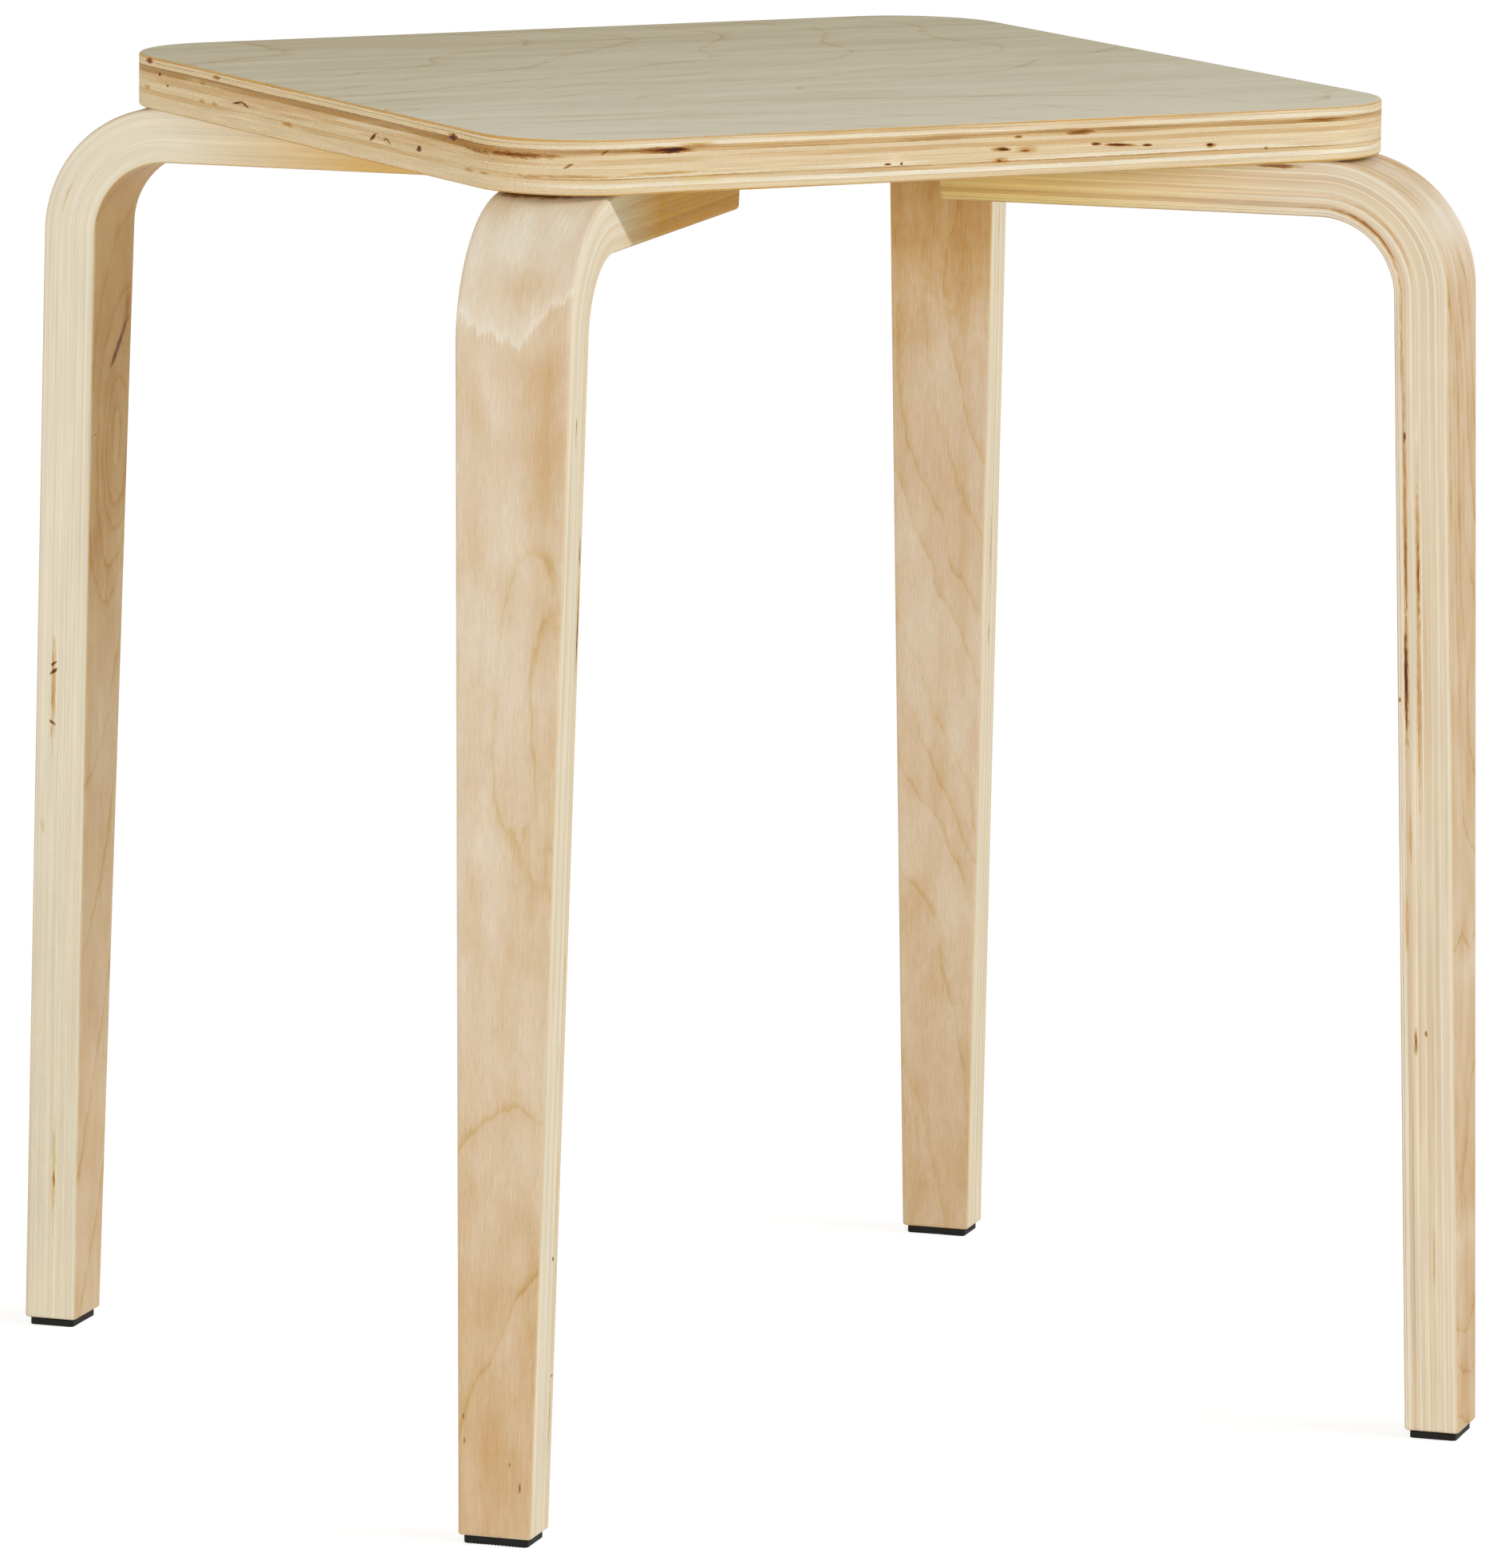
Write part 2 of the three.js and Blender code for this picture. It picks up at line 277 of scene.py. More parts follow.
def leg_figure(grain, faces):
    """Ring count, ring spacing and tone at each point of a leg, from its nearer broad face."""
    outer = grain[:, 2] > 0
    figure = np.zeros((len(grain), 3))
    for side, points_of_side in (("outer", outer), ("inner", ~outer)):
        count_at, patches = faces[side]
        places = grain[points_of_side, :2]
        figure[points_of_side] = np.column_stack([*counted(count_at, places), blotches(places, patches)])
    return figure


def make_piece(name, points, faces, material, node, attributes=None):
    """Makes a smooth closed piece in place of a CAD node, with creases at its sharp edges."""
    mesh = bpy.data.meshes.new(name)
    mesh.from_pydata((points * MM).tolist(), [], [list(face) for face in faces])
    shell = bmesh.new()
    shell.from_mesh(mesh)
    bmesh.ops.recalc_face_normals(shell, faces=shell.faces)
    shell.to_mesh(mesh)
    shell.free()
    mesh.shade_smooth()
    mesh.set_sharp_from_angle(angle=CREASE_ANGLE)
    for attribute, values in (attributes or {}).items():
        layer = mesh.attributes.new(attribute, "FLOAT_VECTOR", "POINT")
        layer.data.foreach_set("vector", values.astype(np.float32).ravel())
    mesh.materials.append(material)
    piece = bpy.data.objects.new(name, mesh)
    bpy.context.scene.collection.objects.link(piece)
    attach(piece, "root")
    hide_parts(node)


def seat_shape():
    """The seat's points, faces and figure.

    Rows of columns run from near the middle of the top out to its edge, down round both arrises
    and a little in along the underside: place = share x (half side x centre + radius less inset x
    direction). A fan closes the middle of the top. The underside is filled flat round the eight
    stepped holes, whose walls are rows of circles. The figure is the top's ring count and spacing,
    and how far each column of the edge faces along X, as a share.
    """
    flat = SEAT_SIDE - 2 * SEAT_CORNER_RADIUS
    shares = spaced(flat, SEAT_FLAT_SPACING, SEAT_FLAT_MARGIN)
    centres, outward = rounded_columns(SEAT_CORNER_STEPS, shares, shares)
    inset, drop = quarter_round(SEAT_ARRIS_STEPS, SEAT_ARRIS)
    margin = 1 - SEAT_EDGE_MARGIN / (SEAT_SIDE / 2)
    top_rows = np.linspace(SEAT_FIRST_ROW_SHARE, margin, SEAT_TOP_ROWS)
    side = np.linspace(STOOL_HEIGHT - SEAT_ARRIS, SEAT_UNDERSIDE + SEAT_ARRIS, SEAT_EDGE_ROWS + 2)
    side[1], side[-2] = side[0] - SEAT_EDGE_MARGIN, side[-1] + SEAT_EDGE_MARGIN
    row_share = np.concatenate([top_rows, np.ones(SEAT_EDGE_ROWS + 2 * len(inset)), [margin]])
    row_inset = np.concatenate([np.full(SEAT_TOP_ROWS, SEAT_ARRIS), inset, np.zeros(SEAT_EDGE_ROWS),
                                inset[::-1], [SEAT_ARRIS]])
    row_height = np.concatenate([np.full(SEAT_TOP_ROWS, STOOL_HEIGHT), STOOL_HEIGHT - drop, side[1:-1],
                                 SEAT_UNDERSIDE + drop[::-1], [SEAT_UNDERSIDE]])
    radius = (SEAT_CORNER_RADIUS - row_inset)[:, None, None]
    plan = row_share[:, None, None] * (flat / 2 * centres[None] + radius * outward[None])
    heights = np.repeat(row_height[:, None], len(centres), axis=1)
    wall = np.concatenate([plan, heights[..., None]], axis=-1).reshape(-1, 3)
    rows, columns = len(row_share), len(centres)
    points = [wall, np.array([[0, 0, STOOL_HEIGHT]], float)]
    faces = [*grid_faces(rows, columns), *fan_faces(np.arange(columns), len(wall))]
    count = len(wall) + 1

    around = np.linspace(0, 2 * math.pi, HOLE_SIDES, endpoint=False)
    circle = np.stack([np.cos(around), np.sin(around)], axis=-1)
    loops = [np.arange((rows - 1) * columns, rows * columns)]
    for angle in CORNER_ANGLES.values():
        for reach in BOLT_REACHES.values():
            middle = np.array([reach * math.cos(angle), reach * math.sin(angle)])
            steps = [(FLANGE_HOLE_RADIUS, 0), (FLANGE_HOLE_RADIUS, FLANGE_HOLE_DEPTH),
                     (INSERT_HOLE_RADIUS, FLANGE_HOLE_DEPTH), (INSERT_HOLE_RADIUS, INSERT_HOLE_DEPTH)]
            hole = [np.column_stack([middle + radius * circle,
                                     np.full(HOLE_SIDES, SEAT_UNDERSIDE + depth)])
                    for radius, depth in steps]
            points += [*hole, np.array([[*middle, SEAT_UNDERSIDE + INSERT_HOLE_DEPTH]])]
            end = count + len(steps) * HOLE_SIDES
            faces += [*grid_faces(len(steps), HOLE_SIDES, count),
                      *fan_faces(np.arange(end - HOLE_SIDES, end), end)]
            loops.append(count + np.arange(HOLE_SIDES))
            count = end + 1
    points = np.concatenate(points)
    order = np.concatenate(loops)
    outline = [[Vector(point) for point in points[loop]] for loop in loops]
    faces += [order[list(triangle)] for triangle in tessellate_polygon(outline)]

    figure = np.zeros((len(points), 3))
    top = slice(len(wall) + 1)
    figure[top, :2] = np.column_stack(counted(growth_rings(SEAT_RINGS, 1), points[top, :2]))
    figure[: len(wall), 2] = np.tile(outward[:, 0] ** 2, rows)
    return points, faces, figure


def straight_along(wall):
    """How far along the straight wood each point of a leg lies, from the end of its arm.

    It is the reach along the arm, then the turn x the middle's radius round the bend, and then the
    distance past the bend's end.
    """
    x, z = wall[..., 0], wall[..., 2]
    turn = np.arctan2(x - BEND_CENTRE_REACH, z - BEND_CENTRE_HEIGHT)
    round_bend = BEND_START_ALONG + BEND_MIDDLE_RADIUS * np.clip(turn, 0, BEND_TURN)
    beyond = (BEND_END_HEIGHT - z) * math.cos(LEG_SPLAY) + (x - BEND_END_REACH) * math.sin(LEG_SPLAY)
    past_arm = np.where(beyond > 0, BEND_END_ALONG + beyond, round_bend)
    return np.where(x <= BEND_CENTRE_REACH, x - ARM_END_REACH, past_arm)


def leg_wall(centres, outward):
    """Rings of points from the arm's end to the foot, and their places in the straight wood.

    A section is a rectangle with rounded arrises. It is carried along the arm, round the bend and
    down the leg, where it narrows in a straight line to the foot. Both ends are rounded by sections
    that are drawn in.
    """
    def section(width, inset):
        radius = LEG_ARRIS - inset
        across = (width / 2 - LEG_ARRIS) * centres[:, 0] + radius * outward[:, 0]
        return across, (LEG_THICKNESS / 2 - LEG_ARRIS) * centres[:, 1] + radius * outward[:, 1]

    def along_arm(across, through, reach):
        return np.stack([reach + 0 * across, across, ARM_MIDDLE + through], axis=-1)

    def round_bend(across, through, turn):
        radius = BEND_MIDDLE_RADIUS + through
        return np.stack([BEND_CENTRE_REACH + radius * math.sin(turn), across,
                         BEND_CENTRE_HEIGHT + radius * math.cos(turn)], axis=-1)

    def at_height(across, through, height):
        reach = BEND_END_REACH + (BEND_END_HEIGHT - height) * math.tan(LEG_SPLAY)
        return np.stack([reach + through / math.cos(LEG_SPLAY), across, height + 0 * across], axis=-1)

    def width_at(height):
        share = (BEND_END_HEIGHT - height) / (BEND_END_HEIGHT - FOOT_HEIGHT)
        return LEG_TOP_WIDTH + (LEG_FOOT_WIDTH - LEG_TOP_WIDTH) * share

    rings, throughs = [], []
    drawn_in, offsets = quarter_round(LEG_END_STEPS, LEG_END_ARRIS)
    for inset, offset in zip(drawn_in, offsets):
        across, through = section(LEG_TOP_WIDTH, inset)
        slope = (LEG_THICKNESS / 2 - through) * math.tan(ARM_END_SLOPE)
        rings.append(along_arm(across, through, ARM_END_REACH + offset + slope))
        throughs.append(through)
    across, through = section(LEG_TOP_WIDTH, 0)
    rings += [along_arm(across, through, reach) for reach in ARM_REACHES]
    rings += [round_bend(across, through, turn) for turn in np.linspace(0, BEND_TURN, BEND_STEPS + 1)]
    foot_height = FOOT_HEIGHT + LEG_END_ARRIS
    bend_end, foot = rings[-1], at_height(*section(width_at(foot_height), 0), foot_height)
    shares = spaced(BEND_END_HEIGHT - FOOT_HEIGHT, LEG_SECTION_SPACING, LEG_SECTION_MARGIN)
    rings += [bend_end * (1 - share) + foot * share for share in shares]
    throughs += [through] * (len(rings) - len(throughs))
    for inset, offset in zip(drawn_in[::-1], offsets[::-1]):
        across, through = section(width_at(FOOT_HEIGHT + offset), inset)
        rings.append(at_height(across, through, FOOT_HEIGHT + offset))
        throughs.append(through)
    wall = np.stack(rings)
    alongs = straight_along(wall)
    alongs[: len(offsets)] = offsets[:, None]
    return wall, np.stack([alongs, wall[..., 1], np.stack(throughs)], axis=-1)


def leg_hole(under, over, start, reach, count):
    """Points and faces of a bolt's stepped hole, between windows under and over the arm.

    Circles of the counterbore and of the bolt's hole meet the windows' points one to one, from the
    side on which the window under the arm starts. count is the number of the first new point.
    """
    size = len(under)
    first, second = start - [reach, 0]
    sense = np.sign(first[0] * second[1] - first[1] * second[0])
    around = math.atan2(first[1], first[0]) + sense * 2 * math.pi * np.arange(size) / size
    circle = np.stack([np.cos(around), np.sin(around)], axis=-1)
    steps = [(COUNTERBORE_RADIUS, ARM_UNDERSIDE), (COUNTERBORE_RADIUS, COUNTERBORE_FLOOR),
             (BOLT_HOLE_RADIUS, COUNTERBORE_FLOOR), (BOLT_HOLE_RADIUS, ARM_TOP)]
    points = np.concatenate([np.column_stack([radius * circle + [reach, 0], np.full(size, height)])
                             for radius, height in steps])
    rows = np.stack([under, *(count + np.arange(len(points)).reshape(-1, size)), over])
    after = np.roll(rows, -1, axis=1)
    return points, np.stack([rows[:-1], after[:-1], after[1:], rows[1:]], axis=-1).reshape(-1, 4)


def leg_shape():
    """The leg's points, its faces and each point's place in the straight wood.

    Quads join the wall's rings and fans close its ends. At each bolt a window is left in both broad
    faces, and the walls of a stepped hole join the two. The place in the straight wood is the
    distance along the middle of the thickness, across the width, and through the thickness towards
    the outer face.
    """
    broad_shares = spaced(LEG_FOOT_WIDTH - 2 * LEG_ARRIS, LEG_FACE_SPACING, LEG_FLAT_MARGIN)
    narrow_shares = spaced(LEG_THICKNESS - 2 * LEG_ARRIS, LEG_SIDE_SPACING, LEG_FLAT_MARGIN)
    wall, grain = leg_wall(*rounded_columns(LEG_ARRIS_STEPS, broad_shares, narrow_shares))
    row_count, columns, _ = wall.shape
    wall, grain = wall.reshape(-1, 3), grain.reshape(-1, 3)
    corner, broad, narrow = LEG_ARRIS_STEPS + 1, len(broad_shares), len(narrow_shares)
    outer = np.arange(corner, corner + broad)
    inner = np.arange(3 * corner + broad + narrow, 3 * corner + 2 * broad + narrow)

    def window(face, low, high):
        rows = np.arange(low, high + 1)
        return np.concatenate([rows[:-1] * columns + face[0], high * columns + face[:-1],
                               rows[:0:-1] * columns + face[-1], low * columns + face[:0:-1]])

    kept = np.ones((row_count - 1, columns), bool)
    points, grains, faces, count = [wall], [grain], [], len(wall)
    for reach in BOLT_REACHES.values():
        ends = [reach - HOLE_WINDOW_HALF_LENGTH, reach + HOLE_WINDOW_HALF_LENGTH]
        low, high = LEG_END_STEPS + 1 + np.searchsorted(ARM_REACHES, ends)
        kept[low:high, outer[0] : outer[-1]] = False
        kept[low:high, inner[0] : inner[-1]] = False
        under, over = window(inner, low, high), window(outer[::-1], low, high)
        hole, hole_faces = leg_hole(under, over, wall[under[:2], :2], reach, count)
        points.append(hole)
        grains.append(hole - [ARM_END_REACH, 0, ARM_MIDDLE])
        faces += [*hole_faces]
        count += len(hole)
    for ring in (slice(columns), slice(-columns, None)):
        points.append(wall[ring].mean(axis=0, keepdims=True))
        grains.append(grain[ring].mean(axis=0, keepdims=True))
    quads = grid_faces(row_count, columns).reshape(row_count - 1, columns, 4)
    first = np.arange(columns)
    last = len(wall) - columns + first
    faces = [*quads[kept], *faces, *fan_faces(first, count), *fan_faces(last, count + 1)]
    return np.concatenate(points), faces, np.concatenate(grains)


def pad_shape():
    """The pad's points and faces: a thin slab with ribs under it that run outwards.

    Loops across the width run along the sole, up the side and back over the top, and are carried
    along the length, narrowing at the rounded corners. The sole's height is half the rib depth x
    (1 - cosine of the place across over the rib pitch).
    """
    length = LEG_THICKNESS / math.cos(LEG_SPLAY) - 2 * PAD_INSET
    width = LEG_FOOT_WIDTH - 2 * PAD_INSET
    inset, drop = quarter_round(PAD_ARRIS_STEPS, PAD_ARRIS)
    sole = np.linspace(-1, 1, PAD_SOLE_POINTS)
    top = np.linspace(PAD_FLAT_SHARE, -PAD_FLAT_SHARE, PAD_TOP_POINTS)
    loop_side = np.concatenate([sole, np.ones(2 * len(inset) - 1), top, -np.ones(2 * len(inset) - 2)])
    loop_inset = np.concatenate([0 * sole + PAD_ARRIS, inset[1:], inset[::-1], 0 * top + PAD_ARRIS,
                                 inset, inset[-2:0:-1]])
    loop_height = np.concatenate([0 * sole, drop[1:], PAD_THICKNESS - drop[::-1],
                                  0 * top + PAD_THICKNESS, PAD_THICKNESS - drop, drop[-2:0:-1]])
    turn = np.linspace(0, math.pi / 2, PAD_CORNER_STEPS + 1)
    near_end = length / 2 - PAD_CORNER_RADIUS + PAD_CORNER_RADIUS * np.sin(turn)
    narrowing = PAD_CORNER_RADIUS * (1 - np.cos(turn))
    middle = np.linspace(-PAD_FLAT_SHARE, PAD_FLAT_SHARE, PAD_MIDDLE_SECTIONS)
    out = np.concatenate([-near_end[::-1], middle * near_end[0], near_end])
    narrow = np.concatenate([narrowing[::-1], 0 * middle, narrowing])
    half = width / 2 - narrow[:, None] - loop_inset[None]
    across = half * loop_side[None]
    on_sole = np.arange(len(loop_side)) < PAD_SOLE_POINTS
    ribs = PAD_RIB_DEPTH / 2 * (1 - np.cos(2 * math.pi * across / PAD_RIB_PITCH))
    height = loop_height[None] + np.where(on_sole[None], ribs, 0)
    points = np.stack([out[:, None] + 0 * across, across, height], axis=-1)
    rows, columns = across.shape
    ends = np.array([[out[0], 0, PAD_THICKNESS / 2], [out[-1], 0, PAD_THICKNESS / 2]])
    faces = [*grid_faces(rows, columns), *fan_faces(np.arange(columns), rows * columns),
             *fan_faces((rows - 1) * columns + np.arange(columns), rows * columns + 1)]
    return np.concatenate([points.reshape(-1, 3), ends]), faces


def lathed(profile, closed=False):
    """A profile of (radius, height, hex share) rows carried round Z.

    A row with hex share 1 is a hexagon whose flats lie at the radius, one with 0 a circle. An open
    profile is closed at both ends by fans.
    """
    profile = np.array(profile, float)
    around = np.linspace(0, 2 * math.pi, LATHE_SIDES, endpoint=False)
    from_flat = (around + math.pi / 6) % (math.pi / 3) - math.pi / 6
    stretch = 1 + profile[:, 2:3] * (1 / np.cos(from_flat)[None] - 1)
    radius = profile[:, :1] * stretch
    points = np.stack([radius * np.cos(around), radius * np.sin(around),
                       np.repeat(profile[:, 1:2], LATHE_SIDES, axis=1)], axis=-1).reshape(-1, 3)
    faces = list(grid_faces(len(profile), LATHE_SIDES, closed_rows=closed))
    if not closed:
        first, count = np.arange(LATHE_SIDES), len(points)
        points = np.concatenate([points, [[0, 0, profile[0, 1]], [0, 0, profile[-1, 1]]]])
        faces += [*fan_faces(first, count), *fan_faces(count - LATHE_SIDES + first, count + 1)]
    return points, faces


def bolt_shape():
    """Button-head bolt, head down: hex socket, domed head, shank and chamfered tip."""
    dome = [(BOLT_HEAD_FACE_RADIUS + (BOLT_HEAD_RADIUS - BOLT_HEAD_FACE_RADIUS) * math.sin(turn),
             BOLT_HEAD_TOP - BOLT_HEAD_HEIGHT * math.cos(turn), 0)
            for turn in np.linspace(0, math.pi / 2, DOME_STEPS + 1)]
    flat = SOCKET_ACROSS_FLATS / 2
    return lathed([
        (flat, BOLT_HEAD_BOTTOM + SOCKET_DEPTH, 1),
        (flat, BOLT_HEAD_BOTTOM + SOCKET_CHAMFER, 1),
        (flat + SOCKET_CHAMFER, BOLT_HEAD_BOTTOM, 1),
        *dome,
        (BOLT_RADIUS, BOLT_HEAD_TOP, 0),
        (BOLT_RADIUS, BOLT_TIP - BOLT_TIP_CHAMFER, 0),
        (BOLT_RADIUS - BOLT_TIP_CHAMFER, BOLT_TIP, 0),
    ])


def washer_shape():
    """Flat washer with slightly broken outer edges."""
    bottom = WASHER_TOP - WASHER_THICKNESS
    return lathed([
        (BOLT_HOLE_RADIUS, bottom, 0),
        (WASHER_RADIUS - WASHER_CHAMFER, bottom, 0),
        (WASHER_RADIUS, bottom + WASHER_CHAMFER, 0),
        (WASHER_RADIUS, WASHER_TOP - WASHER_CHAMFER, 0),
        (WASHER_RADIUS - WASHER_CHAMFER, WASHER_TOP, 0),
        (BOLT_HOLE_RADIUS, WASHER_TOP, 0),
    ], closed=True)


# Figure of the wood, in millimetres

# Growth rings on the seat's top, as places in X and Y
SEAT_RINGS = [
    (12, [(-160, 100), (-135, 113), (-118, 120), (-116, 140), (-118, 160)]),
    (11, [(-160, 35), (-140, 42), (-110, 57), (-88, 67), (-80, 84), (-62, 98), (-33, 111), (-24, 124),
          (-22, 140), (-34, 155)]),
    (10, [(-160, 6), (-120, 26), (-90, 38), (-58, 50), (-45, 65), (-25, 85), (-4, 100), (13, 116),
          (13, 134), (2, 152)]),
    (9, [(-160, -14), (-110, 0), (-70, 15), (-30, 33), (9, 50), (20, 78), (36, 100), (50, 118),
         (51, 136), (38, 158)]),
    (8, [(-160, -34), (-120, -26), (-90, -18), (-40, 2), (0, 18), (50, 36), (68, 56), (72, 86), (86, 110),
         (92, 130), (78, 156)]),
    (7, [(-160, -45), (-100, -44), (-40, -34), (0, -24), (30, -9), (60, 5), (90, 22), (112, 34), (124, 54),
         (118, 76), (120, 102), (130, 122), (126, 148)]),
    (6, [(-160, -53), (-60, -49), (0, -40), (50, -29), (84, -20), (104, -4), (116, 9), (142, 20), (163, 38)]),
    (5.6, [(165, -30), (130, -40)]),
    (6, [(-100, -62), (0, -62), (60, -68), (100, -77), (155, -85)]),
    (7, [(-150, -78), (-20, -80), (20, -88), (60, -99), (90, -111), (104, -124), (112, -144), (142, -142),
         (160, -120)]),
    (8, [(-160, -92), (-50, -93), (0, -103), (40, -120), (50, -142), (68, -160)]),
    (9, [(-160, -106), (-80, -109), (-36, -120), (-15, -134), (16, -160)]),
    (10, [(-160, -121), (-120, -126), (-70, -138), (-38, -160)]),
]

# Growth rings on leg faces, as places along the leg from its arm's end and across it
FRONT_LEFT_OUTER_RINGS = [
    (1, [(175, -19), (178.5, -15), (181, -8.5), (184.5, -2.5), (186.5, 2), (183, 4.5), (179.5, 8.5),
         (174.5, 15), (170.5, 21)]),
    (2, [(300, -3), (280, -2), (267, 0), (254, 5), (255, 10), (262, 14), (272, 18)]),
    (2, [(275, 18), (284, 9), (300, 7), (345, 7), (340, 0), (350, 5), (361, 12), (358, 17)]),
    (2, [(449, -14), (440, -9), (436, -3), (432, 5), (434, 10), (437, 16)]),
    (3, [(485, 14), (493, 8), (503, 3), (514, -2), (525, -8), (540, -12)]),
    (1.5, [(300, -15), (240, -10), (380, -15)]),
    (1.7, [(400, 8)]),
    (2.6, [(300, 2)]),
    (3.6, [(562, 8)]),
]
FRONT_RIGHT_OUTER_RINGS = [
    (0, [(186, 4), (202, 10), (230, 14), (245, 18)]),
    (1, [(187, -6), (205, 1), (232, 6), (250, 10), (262, 14), (272, 18)]),
    (2, [(188, -11), (205, -5), (227, -2), (262, -1), (275, 4), (284, 10), (292, 14), (310, 16)]),
    (3, [(190, -14), (215, -9), (250, -7), (280, -6), (300, -2), (315, 3), (337, 5)]),
    (4, [(195, -17), (230, -14), (270, -12), (310, -9), (340, -7), (365, -2), (375, 8)]),
    (5, [(406, -16), (403, -5), (409, 5), (406, 14)]),
    (6, [(450, 12), (472, 1), (487, -11), (498, -13)]),
    (7, [(537, -11), (539, 0), (532, 10)]),
    (8, [(550, -10), (554, 8)]),
]
BACK_LEFT_INNER_RINGS = [
    (4, [(250, -6), (262, -9), (272, -6), (262, -3)]),
    (3, [(240, -8), (246, 0), (256, 3), (268, 3), (278, 0), (284, -5), (282, -11), (270, -15), (252, -15),
         (243, -12)]),
    (2, [(232, -2), (242, 4), (256, 6), (270, 6), (282, 3), (290, -3), (293, -8), (290, -13), (286, -18)]),
    (1, [(228, 6), (245, 11), (265, 12), (283, 10), (298, 4), (305, -3), (302, -10), (296, -17)]),
    (0, [(240, 18), (280, 18), (300, 15), (312, 8), (318, 1), (314, -6), (307, -12), (304, -18)]),
    (-1, [(325, -17), (338, -11), (350, -7), (362, -2), (370, 4), (378, 12)]),
    (-2, [(362, -17), (385, -11), (412, -3), (428, 6), (442, 15)]),
    (-3, [(440, -15), (470, -5), (495, 4), (515, 12)]),
    (-4, [(520, -12), (550, 0)]),
]
BACK_RIGHT_INNER_RINGS = [
    (0, [(190, -17), (215, -18), (230, -17)]),
    (1, [(192, -6), (205, -3), (222, -1), (240, -3), (252, -7), (268, -9)]),
    (2, [(192, 5), (205, 6), (215, 7), (235, 6), (255, 3), (275, 0), (285, -3), (298, -8), (310, -14)]),
    (3, [(262, 16), (278, 13), (290, 9), (301, 3), (310, -1), (322, -3), (330, -8), (336, -12)]),
    (4, [(293, 16), (303, 12), (313, 8), (325, 3), (335, 0), (342, -5), (352, -9), (365, -14)]),
    (5, [(345, 15), (357, 10), (365, 6), (378, 3), (388, -3), (398, -8), (408, -12), (422, -15)]),
    (6, [(372, 14), (383, 8), (397, 3), (408, -3), (425, -9)]),
    (7, [(402, 13), (411, 7), (419, 0), (432, -6), (445, -12), (452, -15)]),
    (8, [(440, 13), (446, 7), (452, 3), (460, 0), (475, -2), (490, -6), (505, -9), (520, -12)]),
    (9, [(515, 11), (525, 7), (535, 4), (548, 1), (562, -2)]),
]


def cathedral(pitch, bow, lean):
    """Ring count of a flat-sawn face, whose rings arch over its middle.

    It is (along + lean x across + bow x across^2 + two slow waves) / pitch.
    """
    def count_at(places):
        along, across = places[..., 0], places[..., 1]
        waves = 9 * np.sin(along / 67) + 4 * np.sin(along / 23 + across / 9)
        return (along + lean * across + bow * across**2 + waves) / pitch

    return count_at


# Each leg's broad faces: their ring count, and patches as (along, across, radius along, radius
# across, tone), where tone -1 is whitish and 1 is orange-brown. Some patches at the tops of the back
# legs' inner faces are painted shade.
LEG_FACES = {
    "front_left": {
        "outer": (growth_rings(FRONT_LEFT_OUTER_RINGS, 2.5), [
            (60, 0, 60, 60, 0.35), (152, -9, 10, 9, -0.5), (154, 6, 12, 10, -0.4), (163, -14, 8, 8, -0.6),
            (172, 4, 5, 9, 0.45), (195, 8, 7, 9, 0.4), (205, -11, 20, 8, 0.1), (224, 12, 20, 9, 0.75),
            (260, -8, 25, 8, -0.15), (310, 15, 50, 5, 0.4), (310, -1, 35, 4, -0.2), (320, 0, 90, 60, -0.12),
            (368, 10, 25, 9, 0.3), (425, 0, 30, 40, 0.1), (452, -5, 8, 9, -0.15), (550, 0, 90, 60, 0.45),
            (575, 6, 35, 30, 0.12),
        ]),
        "inner": (cathedral(31, 0.32, 0.6), [(300, 0, 900, 90, 0.3), (190, 0, 60, 40, 0.3)]),
    },
    "front_right": {
        "outer": (growth_rings(FRONT_RIGHT_OUTER_RINGS, 2), [
            (300, 0, 900, 90, 0.4), (168, 0, 11, 60, -0.9), (146, -9, 9, 14, -0.4), (480, 6, 20, 8, 0.3),
            (550, 0, 25, 60, 0.2), (505, 0, 7, 60, -0.3), (415, 0, 6, 60, -0.25),
        ]),
        "inner": (cathedral(26, 0.3, -1.5), [(300, 0, 900, 90, 0.3)]),
    },
    "back_left": {
        "outer": (cathedral(34, 0.22, 1.1), [(300, 0, 900, 90, 0.1), (200, -8, 40, 9, -0.5)]),
        "inner": (growth_rings(BACK_LEFT_INNER_RINGS, 1.2), [
            # The browner patches at 160 and 200 along are partly the wood's tone and partly painted shade at
            # the top of this face.
            (200, 0, 110, 90, 0.15), (160, 0, 14, 60, 0.3), (192, 0, 16, 60, -0.35),
            (215, -13, 12, 5, 0.5), (296, 12, 14, 9, 0.5), (450, 0, 160, 90, 0.15),
        ]),
    },
    "back_right": {
        "outer": (cathedral(29, 0.35, -0.9), [(330, 6, 60, 7, 0.5)]),
        # The orange-brown patch at 190 along on the inner face is painted warm shade under the seat.
        "inner": (growth_rings(BACK_RIGHT_INNER_RINGS, 2), [(190, 0, 36, 90, 0.8), (540, 0, 60, 40, 0.3)]),
    },
}

